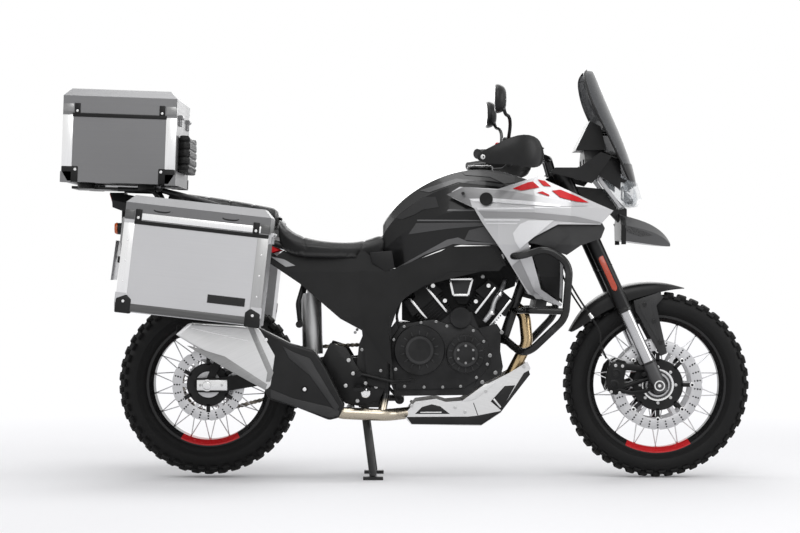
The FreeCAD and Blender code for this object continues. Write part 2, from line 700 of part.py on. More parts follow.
def make_front_fender(fork):
    """An arched guard over the front tyre, with a stay down to each fork foot."""
    centre = Vector(S.front_x, 0, S.front_z)
    inner = S.front_tyre_radius + S.fender_gap
    half = S.fender_width / 2
    drop = S.fender_width * 0.16
    outline = [(-half, inner - drop), (-half * 0.5, inner), (half * 0.5, inner), (half, inner - drop)]
    outer = [(y * (1 + S.fender_wall / half), r + S.fender_wall) for y, r in reversed(outline)]
    face = Part.Face(polygon([centre + Vector(r, y, 0) for y, r in outline + outer]))
    face.rotate(centre, Y_AXIS, -S.fender_lead)
    arch = face.revolve(centre, Y_AXIS, -S.fender_sweep)
    parts = [arch]
    for sign in (-1, 1):
        plate_y = sign * (half + S.fender_wall)
        low = along(S.fork_foot_reach * 0.8, y=plate_y)
        width = S.fork_foot_radius
        top = centre + Vector(-S.fork_foot_radius, 0, inner - drop * 0.6)
        corners = [low - X_AXIS * width * 0.6, low + X_AXIS * width * 0.6,
                   Vector(top.x + width * 2.6, plate_y, top.z), Vector(top.x - width * 0.6, plate_y, top.z)]
        parts.append(Part.Face(polygon(corners)).extrude(Y_AXIS * -sign * S.fender_stay_wall))
        parts.append(rod(low - Y_AXIS * sign * S.fender_stay_wall / 2,
                         Vector(low.x, sign * S.fork_spacing / 2, low.z),
                         S.bolt_radius))
    node(largest(trim(join(parts), fork)), "front_fender")


def make_front_calipers(fork):
    """A caliper on a bracket behind each fork foot, over the disc's edge."""
    centre = Vector(S.front_x, 0, S.front_z)
    reach = S.front_disc_radius - S.front_disc_band * 0.2
    base = centre + Vector(-reach - S.caliper_depth * 0.4, -S.front_disc_offset - S.caliper_width / 2,
                           -S.caliper_length / 2)
    body = Part.makeBox(S.caliper_depth, S.caliper_width, S.caliper_length, base)
    body = body.makeChamfer(S.caliper_depth * 0.2, [e for e in body.Edges if abs(e.tangentAt(0).y) > 0.9])
    body.rotate(centre, Y_AXIS, S.caliper_lean)
    slot = drum(centre + Y_AXIS * (-S.front_disc_offset - S.disc_thickness / 2 - S.disc_gap),
                S.front_disc_radius + S.disc_gap, S.disc_thickness + 2 * S.disc_gap)
    arm_y = -S.fork_spacing / 2 + S.fork_foot_radius * 0.3
    foot = along(S.fork_foot_reach * 0.5, y=arm_y)
    parts = [body]
    for lift in (0.34, -0.3):
        near = centre + Vector(-reach + S.caliper_depth * 0.2, arm_y, S.caliper_length * (lift + 0.2))
        parts.append(rod(Vector(foot.x, arm_y, foot.z + S.caliper_length * lift * 0.3), near,
                         S.bolt_radius * 1.8))
    kept = largest(trim(join(parts), slot, fork))
    node(both(kept), "front_calipers")


def make_rear_caliper(arm):
    """The rear caliper over the top of its disc, on a plate from the axle's end of the arm."""
    centre = Vector(S.rear_x, 0, S.rear_z)
    reach = S.rear_disc_radius - S.rear_disc_band / 2
    body = Part.makeBox(S.rear_caliper_length, S.rear_caliper_width, S.rear_caliper_depth,
                        centre + Vector(-S.rear_caliper_length / 2,
                                        -S.rear_disc_offset - S.rear_caliper_width / 2,
                                        reach - S.rear_caliper_depth / 2))
    body = body.makeChamfer(S.rear_caliper_depth / 4, [e for e in body.Edges if abs(e.tangentAt(0).y) > 0.9])
    body.rotate(centre, Y_AXIS, S.rear_caliper_lean)
    slot = drum(centre + Y_AXIS * (-S.rear_disc_offset - S.disc_thickness / 2 - S.disc_gap),
                S.rear_disc_radius + S.disc_gap, S.disc_thickness + 2 * S.disc_gap)
    outer = -S.rear_disc_offset - S.disc_thickness / 2 - S.disc_gap
    bracket = Part.makeBox(S.arm_width, S.arm_half_width - S.arm_width / 2 + outer, reach,
                           centre + Vector(-S.arm_width / 2, -S.arm_half_width + S.arm_width / 2, 0))
    bracket.rotate(centre, Y_AXIS, S.rear_caliper_lean)
    node(largest(trim(join([body, bracket]), slot, arm)), "rear_caliper")


# Chassis

def frame_form():
    """Head tube, two main beams, down tubes, pivot plates, the tail's rails and the nose spine."""
    head_low = S.lower_clamp_reach + S.clamp_thickness + S.head_gap
    head_high = S.upper_clamp_reach - S.head_gap
    outer = S.stem_radius + S.head_tube_wall
    bore = rod(along(head_low - S.head_gap, -S.fork_offset), along(head_high + S.head_gap, -S.fork_offset),
               S.stem_radius + S.running_fit)
    neck = along((head_low + head_high) / 2, -S.fork_offset)
    low_neck = along(head_low + outer, -S.fork_offset)
    parts = [rod(along(head_low, -S.fork_offset), along(head_high, -S.fork_offset), outer)]
    w, r, d = S.beam_half_width, S.rail_half_width, S.down_tube_half_width
    for sign in (-1, 1):
        beam = [neck, side(0.70, 0.53, sign * w), side(0.60, 0.487, sign * w), side(0.455, 0.455, sign * w),
                side(0.40, 0.40, sign * w), side(0.385, 0.345, sign * (w + S.beam_radius))]
        parts.append(tube(beam, S.beam_radius, S.tube_bend))
        down = [low_neck, side(0.735, 0.53, sign * d * 0.7), side(0.695, 0.42, sign * d),
                side(0.655, 0.30, sign * d)]
        parts.append(tube(down, S.down_tube_radius, S.tube_bend))
        rail = [side(0.445, 0.455, sign * w), side(0.30, 0.475, sign * r), side(0.08, 0.545, sign * r),
                side(-0.13, 0.607, sign * r * 0.8)]
        parts.append(tube(rail, S.rail_radius, S.tube_bend))
        strut = [side(0.385, 0.345, sign * (w + S.beam_radius)), side(0.28, 0.40, sign * r),
                 side(0.06, 0.545, sign * r)]
        parts.append(tube(strut, S.rail_radius * 0.9, S.tube_bend))
        inner = sign * S.pivot_half_width
        parts.append(slab(PLATE_SHARES, *sorted((inner, inner + sign * S.plate_thickness))))
    for x_share, z_share, half, radius in CROSS_SHARES:
        parts.append(rod(side(x_share, z_share, -half * S.beam_half_width),
                         side(x_share, z_share, half * S.beam_half_width),
                         radius * S.beam_radius))
    stand = stand_pivot()
    reach = S.pivot_half_width
    parts.append(drum(stand - Y_AXIS * reach, S.stand_pivot_radius, 2 * reach))
    parts.append(slab(SPINE_SHARES, -S.plate_thickness, S.plate_thickness))
    return trim(join(parts), bore)


PLATE_SHARES = [(0.335, 0.30), (0.365, 0.37), (0.405, 0.37), (0.41, 0.22), (0.385, 0.16), (0.335, 0.16),
                (0.325, 0.20)]
SPINE_SHARES = [(0.80, 0.632), (0.82, 0.652), (0.89, 0.645), (0.935, 0.60), (0.935, 0.57), (0.915, 0.57),
                (0.895, 0.592), (0.805, 0.592)]
CROSS_SHARES = [(-0.13, 0.607, 0.88, 0.8), (0.12, 0.536, 1.1, 0.8), (0.415, 0.418, 1.0, 1.0),
                (0.225, 0.438, 1.1, 0.8)]


def stand_pivot():
    return side(0.345, 0.17)


def swing_pivot():
    return side(0.350, 0.262)


def arm_point(share):
    pivot, axle = swing_pivot(), Vector(S.rear_x, 0, S.rear_z)
    return pivot + (axle - pivot) * share


def swingarm_form():
    """Two arms from the pivot tube to the axle plates, a bridge, and the rear axle with its nuts."""
    pivot, axle = swing_pivot(), Vector(S.rear_x, 0, S.rear_z)
    near = S.pivot_half_width - S.clearance
    parts = [drum(pivot - Y_AXIS * near, S.pivot_radius, 2 * near)]
    h = S.arm_height / 2
    start = arm_point(0.25)
    outer = S.arm_half_width
    for sign in (-1, 1):
        corners = [start + Z_AXIS * h, start - Z_AXIS * h * 0.8,
                   axle + Vector(S.arm_width * 1.6, 0, -h * 0.8),
                   axle + Vector(-S.arm_width * 1.6, 0, -h * 0.8),
                   axle + Vector(-S.arm_width * 1.6, 0, h * 0.8),
                   axle + Vector(S.arm_width * 1.6, 0, h * 0.8)]
        wall = [Vector(p.x, sign * outer, p.z) for p in corners]
        parts.append(Part.Face(polygon(wall)).extrude(Y_AXIS * -sign * S.arm_width))
        root, waist = pivot, arm_point(0.12)
        first, second = [[Vector(p.x, sign * y, p.z + z) for y, z in
                          ((near, h * 0.6), (near, -h * 0.6), (near - S.arm_width, -h * 0.6),
                           (near - S.arm_width, h * 0.6))]
                         for p in (root, waist)]
        last = [Vector(start.x, sign * y, start.z + z) for y, z in
                ((outer, h), (outer, -h * 0.8), (outer - S.arm_width, -h * 0.8), (outer - S.arm_width, h))]
        parts.append(through([polygon(first), polygon(second)]))
        parts.append(through([polygon(second), polygon(last)]))
    bridge = arm_point(0.34)
    half = S.arm_half_width - S.arm_width / 2
    parts.append(block(Vector(bridge.x - S.arm_height * 0.35, -half, bridge.z - S.arm_height * 0.4),
                       S.arm_height * 0.7, 2 * half, S.arm_height * 0.7))
    axle_half = S.arm_half_width + S.axle_head_length
    parts.append(drum(axle - Y_AXIS * axle_half, S.rear_axle_radius, 2 * axle_half))
    for sign in (-1, 1):
        parts.append(drum(axle + Y_AXIS * sign * S.arm_half_width, S.axle_head_radius, S.axle_head_length,
                          Y_AXIS * sign))
    bore = drum(axle - Y_AXIS * axle_half, S.axle_bore_radius, 2 * axle_half)
    return trim(join(parts), bore)


def shock_form(frame, arm):
    """Coil spring on a damper, between the swingarm's bridge and the frame's cross tube."""
    low = arm_point(0.34) + Z_AXIS * S.arm_height * 0.25
    high = side(0.225, 0.438)
    run = high - low
    parts = [rod(low, high, S.shock_body_radius * 0.6),
             rod(low + run * 0.12, low + run * 0.86, S.shock_spring_radius)]
    return trim(join(parts), frame, arm)


CRANKCASE_SHARES = [(.404, .331), (.417, .348), (.514, .348), (.541, .371), (.585, .371), (.602, .331),
                    (.629, .309),
                    (.633, .251), (.612, .212), (.575, .187), (.417, .185), (.404, .215)]
MOUNT_SHARES = [(.600, .335), (.640, .345), (.650, .330), (.648, .285), (.654, .25), (.65, .233), (.60, .208),
                (.590, .205), (.602, .228), (.618, .255), (.618, .300)]


def crankcase_form():
    """The crankcase with round covers and a mounting plate on each side, cut away for the front sprocket."""
    parts = [slab(CRANKCASE_SHARES, -S.case_half_width, S.case_half_width)]
    for x_share, z_share, radius, boss in (
            (.469, .287, S.clutch_cover_radius, S.clutch_boss_radius),
                                           (.571, .278, S.stator_cover_radius, S.stator_boss_radius)):
        for sign in (-1, 1):
            centre = side(x_share, z_share, sign * S.case_half_width * 0.8)
            depth = S.case_half_width * 0.2 + S.cover_thickness * 0.7
            parts.append(drum(centre, radius, depth, Y_AXIS * sign))
            parts.append(drum(centre, boss, depth + S.cover_step, Y_AXIS * sign))
    for sign in (-1, 1):
        near, far = sign * (S.case_half_width - S.plate_thickness), sign * (S.case_half_width + S.bolt_radius)
        parts.append(slab(MOUNT_SHARES, *sorted((near, far))))
    parts.append(drum(side(.56, .359, -S.case_half_width * 0.8), S.pump_cover_radius,
                      S.case_half_width * 0.4, -Y_AXIS))
    bay = drum(side(.398, .272, S.sprocket_offset - S.chain_width), S.front_sprocket_radius * 1.7,
               S.case_half_width + S.overrun)
    return trim(join(parts), bay)


def cylinder_direction(sign):
    lean = math.radians(S.cylinder_lean)
    return Vector(sign * math.sin(lean), 0, math.cos(lean))


def cylinders_form(case):
    """Two finned cylinders in a vee from the crank, each with its head, and the air duct between them."""
    crank = side(.557, .309)
    parts = []
    for sign in (-1, 1):
        up = cylinder_direction(sign)
        out = Vector(up.z, 0, -up.x)
        w, d = S.cylinder_half_width, S.cylinder_depth / 2
        start, end = crank + up * S.cylinder_length * 0.3, crank + up * S.cylinder_length
        barrel = [start - out * d * 0.86, start + out * d * 0.86, end + out * d * 0.86, end - out * d * 0.86]
        parts.append(pushed(barrel, w * 0.9))
        for i in range(int(S.fin_count)):
            low = end - up * (S.fin_pitch * (i + 1))
            fin = [low - out * d, low + out * d, low + out * d + up * S.fin_thickness,
                   low - out * d + up * S.fin_thickness]
            parts.append(pushed(fin, w))
        top = end + up * S.head_height
        head = [end - out * (d + S.head_margin), end + out * (d + S.head_margin), top + out * d,
                top - out * d]
        parts.append(pushed(head, w + S.head_margin * 0.5))
    parts.append(slab(INTAKE_SHARES, -S.intake_half_width, S.intake_half_width))
    parts.append(slab(DUCT_SHARES, -S.duct_half_width, S.duct_half_width))
    parts.append(rod(side(.502, .431), side(.624, .431), S.intake_pipe_radius))
    return trim(join(parts), case)


DUCT_SHARES = [(.430, .352), (.430, .395), (.452, .432), (.50, .452), (.60, .460), (.675, .490), (.690, .470),
               (.683, .428), (.650, .415), (.62, .36), (.60, .34), (.50, .34)]
INTAKE_SHARES = [(.535, .447), (.598, .447), (.589, .412), (.574, .388), (.556, .388), (.545, .412)]


def pushed(corners, half):
    """A solid from corners in the centre plane, to the same distance on both sides of it."""
    return Part.Face(polygon([Vector(p.x, -half, p.z) for p in corners])).extrude(Y_AXIS * 2 * half)


def headers_form(cutters):
    """A pipe from each cylinder, joined under the engine and led back to the silencer."""
    out = -(S.silencer_inner + S.header_radius)
    front = [side(.664, .392, -S.header_half_width * 0.3), side(.704, .37, -S.header_half_width * 0.5),
             side(.71, .30, -S.header_half_width * 0.8), side(.66, .205, -S.header_half_width),
             side(.60, .163, -S.header_half_width), side(.50, .150, -S.header_half_width),
             side(.45, .147, -S.header_half_width * 1.35), side(.395, .145, out),
             side(.29, .150, out), side(.22, .205, out - S.header_radius * 0.5)]
    rear = [side(.462, .405, -S.cylinder_half_width * 0.7), side(.44, .408, -S.cylinder_half_width * 1.3),
            side(.405, .39, -S.rear_header_out), side(.394, .33, -S.rear_header_out),
            side(.394, .19, -S.rear_header_out), side(.385, .147, out)]
    parts = [tube(front, S.header_radius, S.tube_bend * 2), tube(rear, S.header_radius * 0.7, S.tube_bend)]
    return trim(join(parts), *cutters)


MUFFLER_SHARES = [(-.065, .323), (-.035, .349), (.112, .34), (.13, .33), (.17, .277), (.16, .214),
                  (.135, .2005)]
SHIELD_SHARES = [(.114, .34), (.187, .303), (.239, .288), (.264, .248), (.305, .168), (.292, .141),
                 (.271, .136),
                 (.2, .164), (.141, .181), (.131, .197), (.141, .214), (.15, .277)]
SKID_SHARES = [(.433, .141), (.46, .173), (.506, .179), (.528, .172), (.565, .175), (.623, .214),
               (.667, .236),
               (.708, .261), (.715, .247), (.708, .229), (.649, .148), (.605, .119), (.451, .122)]


def skid_form():
    """A tray under the engine, open on top, with its sides as high as its outline."""
    outer = slab(SKID_SHARES, -S.skid_half_width, S.skid_half_width)
    wall = S.skid_wall / S.wheelbase
    floor_line = SKID_SHARES[9:]
    inner = [(x - wall if x > .6 else x + wall, z + wall) for x, z in floor_line]
    hollow = slab(inner + [(.433, .2), (.50, .32), (.72, .32), (.715, .26)], -S.skid_half_width + S.skid_wall,
                  S.skid_half_width - S.skid_wall)
    return trim(outer, hollow)


TANK_SHARES = [
    (.388, [(0, .566), (.30, .562), (.45, .54), (.48, .505), (.40, .470), (0, .470)]),
    (.44, [(0, .632), (.42, .626), (.66, .60), (.78, .55), (.74, .476), (0, .476)]),
    (.50, [(0, .668), (.48, .663), (.82, .635), (.95, .58), (.92, .502), (0, .502)]),
    (.58, [(0, .689), (.5, .686), (.86, .66), (1, .60), (.98, .523), (0, .523)]),
    (.66, [(0, .683), (.5, .68), (.84, .655), (1, .60), (.98, .523), (0, .523)]),
    (.735, [(0, .660), (.45, .657), (.7, .635), (.85, .59), (.82, .545), (0, .545)]),
]
RIDER_SEAT_SHARES = [
    (.157, [(0, .596), (.62, .595), (.72, .585), (.72, .53), (0, .53)]),
    (.185, [(0, .548), (.75, .545), (.90, .532), (.88, .50), (0, .50)]),
    (.25, [(0, .527), (.80, .525), (1, .514), (.97, .492), (0, .492)]),
    (.32, [(0, .524), (.70, .522), (.88, .512), (.85, .490), (0, .490)]),
    (.402, [(0, .562), (.32, .558), (.46, .54), (.46, .490), (0, .490)]),
]
PILLION_SEAT_SHARES = [
    (-.094, [(0, .637), (.55, .634), (.72, .622), (.70, .595), (0, .595)]),
    (.03, [(0, .621), (.68, .618), (.88, .606), (.86, .575), (0, .575)]),
    (.155, [(0, .598), (.62, .596), (.74, .585), (.74, .553), (0, .553)]),
]
TAIL_SHARES = [
    (-.215, [(0, .638), (.52, .636), (.60, .62), (.50, .604), (0, .604)]),
    (-.13, [(0, .620), (.78, .62), (.95, .60), (.85, .575), (0, .575)]),
    (.02, [(0, .572), (.95, .572), (1.02, .56), (.95, .535), (0, .535)]),
    (.14, [(0, .555), (.98, .553), (1.05, .535), (.98, .512), (0, .512)]),
]
SKIN_SHARES = [
    (.54, [(0, .36), (.62, .38), (.72, .45), (.76, .52), (.78, .60), (.74, .66), (0, .69)]),
    (.64, [(0, .36), (.66, .38), (.84, .45), (.93, .52), (.92, .60), (.80, .66), (0, .70)]),
    (.72, [(0, .36), (.70, .38), (.90, .45), (1, .52), (.97, .60), (.80, .68), (0, .71)]),
    (.80, [(0, .36), (.66, .38), (.86, .45), (.97, .52), (.92, .60), (.74, .68), (0, .70)]),
    (.90, [(0, .36), (.52, .38), (.66, .45), (.72, .52), (.68, .60), (.58, .66), (0, .68)]),
]
SHROUD_SHARES = [(.528, .629), (.557, .647), (.641, .642), (.703, .662), (.728, .669), (.839, .619),
                 (.896, .595),
                 (.866, .564), (.771, .564), (.704, .529), (.735, .422), (.783, .389), (.78, .384),
                 (.707, .412),
                 (.658, .492), (.606, .568), (.588, .6)]
UPPER_GRILLE_SHARES = [(.708, .5285), (.74, .568), (.79, .588), (.86, .588), (.877, .556), (.868, .534),
                       (.822, .518),
                       (.791, .497), (.75, .511)]
LOWER_GRILLE_SHARES = [(.712, .507), (.784, .492), (.784, .391), (.742, .424)]
COVER_SHARES = [(.135, .481), (.168, .507), (.197, .518), (.338, .514), (.377, .481), (.406, .459),
                (.47, .481),
                (.536, .516), (.64, .518), (.66, .474), (.536, .445), (.481, .43), (.426, .397), (.404, .331),
                (.393, .203), (.355, .211), (.342, .331), (.294, .357), (.205, .434)]
COVER_SKIN_SHARES = [
    (.12, [(0, .18), (1, .20), (.98, .36), (.86, .46), (.72, .53), (0, .54)]),
    (.32, [(0, .18), (1, .20), (.98, .36), (.90, .46), (.78, .53), (0, .54)]),
    (.42, [(0, .18), (1, .20), (.98, .36), (.94, .46), (.88, .53), (0, .54)]),
    (.67, [(0, .18), (1, .20), (1, .36), (1.1, .46), (1.1, .53), (0, .54)]),
]


def skin(stations_shares, width, inset, wall):
    """A thin shell across the machine, open at both ends."""
    return trim(lofted(stations_shares, width, inset, True),
                lofted(stations_shares, width, inset + wall, True))


def panel(outline_shares, shell, width, posts, cutters):
    """A side panel cut from a shell by its outline, with its bosses, for both sides."""
    right = meet(shell, slab(outline_shares, -(width + S.overrun), 0 - S.bolt_radius))
    parts = [right]
    for x_share, z_share, y_inner, y_outer in posts:
        parts.append(rod(side(x_share, z_share, -y_inner), side(x_share, z_share, -y_outer),
                         S.bolt_radius * 1.6))
    right = largest(trim(join(parts), *cutters)) if posts or cutters else right
    return both(right)


def tail_fittings():
    """The lamp at the tail's end, the blank plate's holder under it and the two signals."""
    lamp = slab(TAIL_LAMP_SHARES, -S.tail_lamp_half_width, S.tail_lamp_half_width)
    holder = slab(HOLDER_SHARES, -S.plate_half_width / 2, S.plate_half_width / 2)
    plate = slab(PLATE_BOARD_SHARES, -S.plate_half_width, S.plate_half_width)
    parts = [lamp, holder, plate]
    for sign in (-1, 1):
        root, tip = side(-.176, .560), side(-.186, .556, sign * S.signal_out)
        parts.append(rod(root, tip, S.signal_radius / 3))
        parts.append(rod(tip - X_AXIS * S.signal_radius, tip + X_AXIS * S.signal_radius * 0.8,
                         S.signal_radius))
    return parts


TAIL_LAMP_SHARES = [(-.222, .637), (-.214, .610), (-.200, .600), (-.190, .604), (-.190, .637)]
HOLDER_SHARES = [(-.165, .612), (-.195, .606), (-.196, .560), (-.199, .490), (-.195, .488), (-.180, .560)]
PLATE_BOARD_SHARES = [(-.200, .532), (-.204, .532), (-.216, .440), (-.212, .440)]


def make_body(frame, crankcase, cylinders, radiator, bars):
    room = steering_room(S.lower_clamp_reach - S.steering_gap,
                         S.upper_clamp_reach + S.clamp_thickness + S.steering_gap)
    tank = largest(trim(lofted(TANK_SHARES, S.tank_half_width), frame, cylinders, *room))
    node(tank, "fuel_tank")
    rider = largest(trim(lofted(RIDER_SEAT_SHARES, S.seat_half_width), tank, frame))
    node(rider, "rider_seat")
    pillion = largest(trim(lofted(PILLION_SEAT_SHARES, S.seat_half_width), rider, frame))
    node(pillion, "pillion_seat")
    tail = largest(trim(join([lofted(TAIL_SHARES, S.tail_half_width)] + tail_fittings()), pillion, rider,
                        frame))
    node(tail, "tail_unit")
    width = S.fairing_half_width
    outer_skin = skin(SKIN_SHARES, width, 0.0, S.panel_wall)
    inner_skin = skin(SKIN_SHARES, width, S.shroud_inset, S.panel_wall)
    node(panel(SHROUD_SHARES, outer_skin, width, [(.62, .60, S.tank_half_width * 0.8, width * 0.88)],
               [tank, bars]), "side_fairings")
    fairings = NODES[-1]
    node(panel(UPPER_GRILLE_SHARES, inner_skin, width, [(.83, .577, width * 0.8, width * 0.93),
                                                        (.775, .575, width * 0.84, width * 0.97)],
               [NODES[-1], bars]),
         "upper_grilles")
    node(panel(LOWER_GRILLE_SHARES, inner_skin, width, [], [radiator]), "radiator_shrouds")
    cover_skin = skin(COVER_SKIN_SHARES, S.cover_half_width, 0.0, S.panel_wall)
    node(panel(COVER_SHARES, cover_skin, S.cover_half_width, [], [frame, tank, rider, crankcase]),
         "side_covers")
    return pillion, tail, fairings


# Nose

LAMP_SHARES = [(.885, .693), (.86, .666), (.914, .599), (.955, .605), (.965, .623), (.955, .658),
               (.897, .695)]
BEAK_SHARES = [
    (.915, [(0, .590), (.62, .588), (1, .565), (.92, .530), (0, .530)]),
    (.96, [(0, .578), (.56, .575), (.88, .556), (.80, .524), (0, .524)]),
    (1.0, [(0, .560), (.40, .557), (.62, .543), (.56, .519), (0, .519)]),
    (1.031, [(0, .526), (.16, .525), (.24, .521), (.20, .517), (0, .517)]),
]
NOSE_SHARES = [
    (.835, [(0, .735), (.60, .73), (.95, .71), (1, .69), (0, .69)]),
    (.868, [(0, .735), (.62, .73), (.96, .71), (.98, .672), (0, .672)]),
    (.915, [(0, .715), (.50, .712), (.85, .70), (.85, .64), (0, .64)]),
]
DASH_SHARES = [(.816, .73), (.848, .796), (.872, .784), (.885, .731)]
NOSE_POST_SHARES = [(.86, .64), (.86, .70), (.89, .70), (.89, .64)]
CHEEK_SHARES = [(.756, .679), (.768, .690), (.820, .690), (.868, .724), (.892, .715), (.859, .668),
                (.848, .655),
                (.800, .668)]
CHEEK_BRIDGE_SHARES = [(.850, .690), (.866, .718), (.890, .712), (.872, .686)]
SCREEN_SHARES = [(.66, .933, .955, .62), (.70, .918, .948, .82), (.78, .872, .918, 1.0),
                 (.85, .840, .888, .95),
                 (.91, .828, .862, .62)]


def wedge_across(outline_shares, half, taper_share):
    """An outline across the machine whose ends are drawn in towards its middle."""
    points = [side(x, z) for x, z in outline_shares]
    middle = Vector(sum(p.x for p in points) / len(points), 0, sum(p.z for p in points) / len(points))
    wires = []
    for y_share, scale in ((-1, taper_share), (-0.55, 1), (0.55, 1), (1, taper_share)):
        moved = [middle + (p - middle) * scale + Y_AXIS * y_share * half for p in points]
        wires.append(polygon(moved))
    return through(wires)


def screen_form(cutters):
    """A curved clear screen, swept back, as thick all over as its wall."""
    wires = []
    for z_share, side_share, front_share, width_share in SCREEN_SHARES:
        half = S.screen_half_width * width_share
        left, front, right = (side(side_share, z_share, half), side(front_share, z_share, 0),
                              side(side_share, z_share, -half))
        back = X_AXIS * S.screen_wall
        outer = Part.Arc(left, front, right).toShape()
        inner = Part.Arc(left - back, front - back, right - back).toShape()
        wires.append(Part.Wire([outer, Part.makeLine(right, right - back), inner,
                                Part.makeLine(left - back, left)]))
    return largest(trim(through(wires, False), *cutters))


def make_nose(frame, cutters):
    lamp = largest(trim(wedge_across(LAMP_SHARES, S.lamp_half_width, 0.72), frame))
    node(lamp, "headlamp")
    beak = largest(trim(lofted(BEAK_SHARES, S.beak_half_width), frame, lamp))
    node(beak, "beak")
    nose = largest(trim(lofted(NOSE_SHARES, S.nose_half_width), lamp, frame))
    dash = trim(slab(DASH_SHARES, -S.dash_half_width, S.dash_half_width), nose)
    parts = [nose, dash, slab(NOSE_POST_SHARES, -S.plate_thickness, S.plate_thickness)]
    for sign in (-1, 1):
        for shares, near, far in ((CHEEK_SHARES, S.cheek_y, S.cheek_y + S.cheek_wall),
                                  (CHEEK_BRIDGE_SHARES, S.nose_half_width * 0.85, S.cheek_y + S.cheek_wall)):
            parts.append(slab(shares, *sorted((sign * near, sign * far))))
    room = steering_room(S.lower_clamp_reach, S.upper_clamp_reach + S.clamp_thickness + S.steering_gap)
    nose = largest(trim(join(parts), lamp, frame, *room, *cutters))
    node(nose, "nose_fairing")
    node(screen_form([nose, lamp]), "windscreen")


def make_radiator(frame):
    slope_shares = [(.755, .53), (.779, .53), (.744, .37), (.720, .37)]
    core = slab(slope_shares, -S.radiator_half_width, S.radiator_half_width)
    pins = []
    for sign in (-1, 1):
        for x_share, z_share in ((.745, .50), (.722, .40)):
            y = sign * S.down_tube_half_width * 0.9
            pins.append(rod(side(x_share - .035, z_share + .012, y), side(x_share + .01, z_share, y),
                            S.bolt_radius * 1.4))
    return node(largest(trim(join([core] + pins), frame)), "radiator")


# Crash bars, racks and controls

def make_crash_bars(frame, crankcase):
    half = S.crash_half_width
    parts = []
    points = [side(.655, .315, -S.down_tube_half_width), side(.70, .275, -half * 0.72),
              side(.785, .36, -half),
              side(.795, .478, -half), side(.745, .512, -half * 0.98), side(.672, .49, -half * 0.86),
              side(.655, .5107, -S.beam_half_width)]
    parts.append(tube(points, S.crash_radius, S.tube_bend * 2))
    parts.append(tube([side(.79, .374, -half), side(.71, .376, -half * 0.9),
                       side(.68, .374, -S.down_tube_half_width)],
                      S.crash_radius * 0.85, S.tube_bend))
    right = largest(trim(join(parts), frame, crankcase))
    return node(both(right), "crash_bars")


def make_carrier(frame, tail, pillion):
    """Rack plate behind the seat, its posts and grab rails, and a loop beside each side case."""
    y = S.side_case_inner - S.rack_radius
    plate_shares = [(-.303, .651 - .006), (-.303, .651), (-.099, .645), (-.099, .639)]
    parts = [slab(plate_shares, -S.rack_half_width, S.rack_half_width)]
    for sign in (-1, 1):
        rail = [side(-.11, .60, sign * S.rail_half_width * 0.8),
                side(-.115, .641, sign * S.rack_half_width * 0.95),
                side(-.20, .644, sign * S.rack_half_width * 0.95)]
        parts.append(tube(rail, S.rack_radius, S.tube_bend))
        grab = [side(-.10, .64, sign * S.rack_half_width * 0.9),
                side(-.06, .63, sign * S.tail_half_width * 1.16),
                side(.03, .605, sign * S.tail_half_width * 1.2), side(.06, .552, sign * S.rail_half_width)]
        parts.append(tube(grab, S.rack_radius * 1.2, S.tube_bend))
        loop = [side(.07, .545, sign * S.rail_half_width), side(.072, .53, sign * y),
                side(-.12, .552, sign * y),
                side(-.135, .42, sign * y), side(.09, .39, sign * y), side(.076, .49, sign * y),
                side(.073, .522, sign * y)]
        parts.append(tube(loop, S.rack_radius, S.tube_bend))
        parts.append(tube([side(-.115, .60, sign * S.rail_half_width * 0.8), side(-.11, .553, sign * y * 0.7),
                           side(-.11, .551, sign * y)], S.rack_radius, S.tube_bend))
    node(trim(join(parts), frame, tail, pillion), "luggage_carrier")


def make_foot_controls(frame, crankcase):
    """Rider pegs, the brake pedal on the right and the shift lever on the left."""
    near = S.pivot_half_width + S.plate_thickness
    pieces = []
    for sign in (-1, 1):
        peg = side(.335, .203, sign * near)
        arm = drum(peg, S.peg_radius, S.peg_length * 0.4, Y_AXIS * sign)
        start = peg + Y_AXIS * sign * S.peg_length * 0.3
        low = min(start.y, start.y + sign * S.peg_length)
        tread = block(Vector(peg.x - S.peg_width / 2, low, peg.z - S.peg_radius / 2), S.peg_width,
                      S.peg_length, S.peg_radius)
        pieces.append(join([arm, tread]))
        pivot = side(.335, .236, sign * near)
        out = S.peg_length * 0.56
        toe = side(.455, .222, sign * (near + S.peg_length * 0.8))
        lever = tube([pivot + Y_AXIS * sign * out, side(.41, .218, sign * (near + out * 1.1)), toe],
                     S.peg_radius * 0.5, S.tube_bend)
        hub = drum(pivot, S.peg_radius * 0.9, out + S.peg_radius * 0.5, Y_AXIS * sign)
        pad = rod(toe - Y_AXIS * sign * S.peg_radius, toe + Y_AXIS * sign * S.peg_radius * 2.4,
                  S.peg_radius * 0.7)
        pieces.append(join([hub, lever, pad]))
    for sign in (-1, 1):
        hanger = tube([side(.215, .443, sign * S.rail_half_width),
                       side(.20, .39, sign * (S.rail_half_width + S.rail_radius * 2)),
                       side(.205, .345, sign * (S.rail_half_width + S.rail_radius * 2.2))], S.rack_radius,
                      S.tube_bend)
        tip = side(.205, .345, sign * (S.rail_half_width + S.rail_radius * 2.2))
        peg = rod(tip - Y_AXIS * sign * S.rack_radius, tip + Y_AXIS * sign * S.peg_length * 0.8, S.peg_radius)
        pieces.append(join([hanger, peg]))
    node(trim(group(pieces), frame, crankcase), "foot_controls")


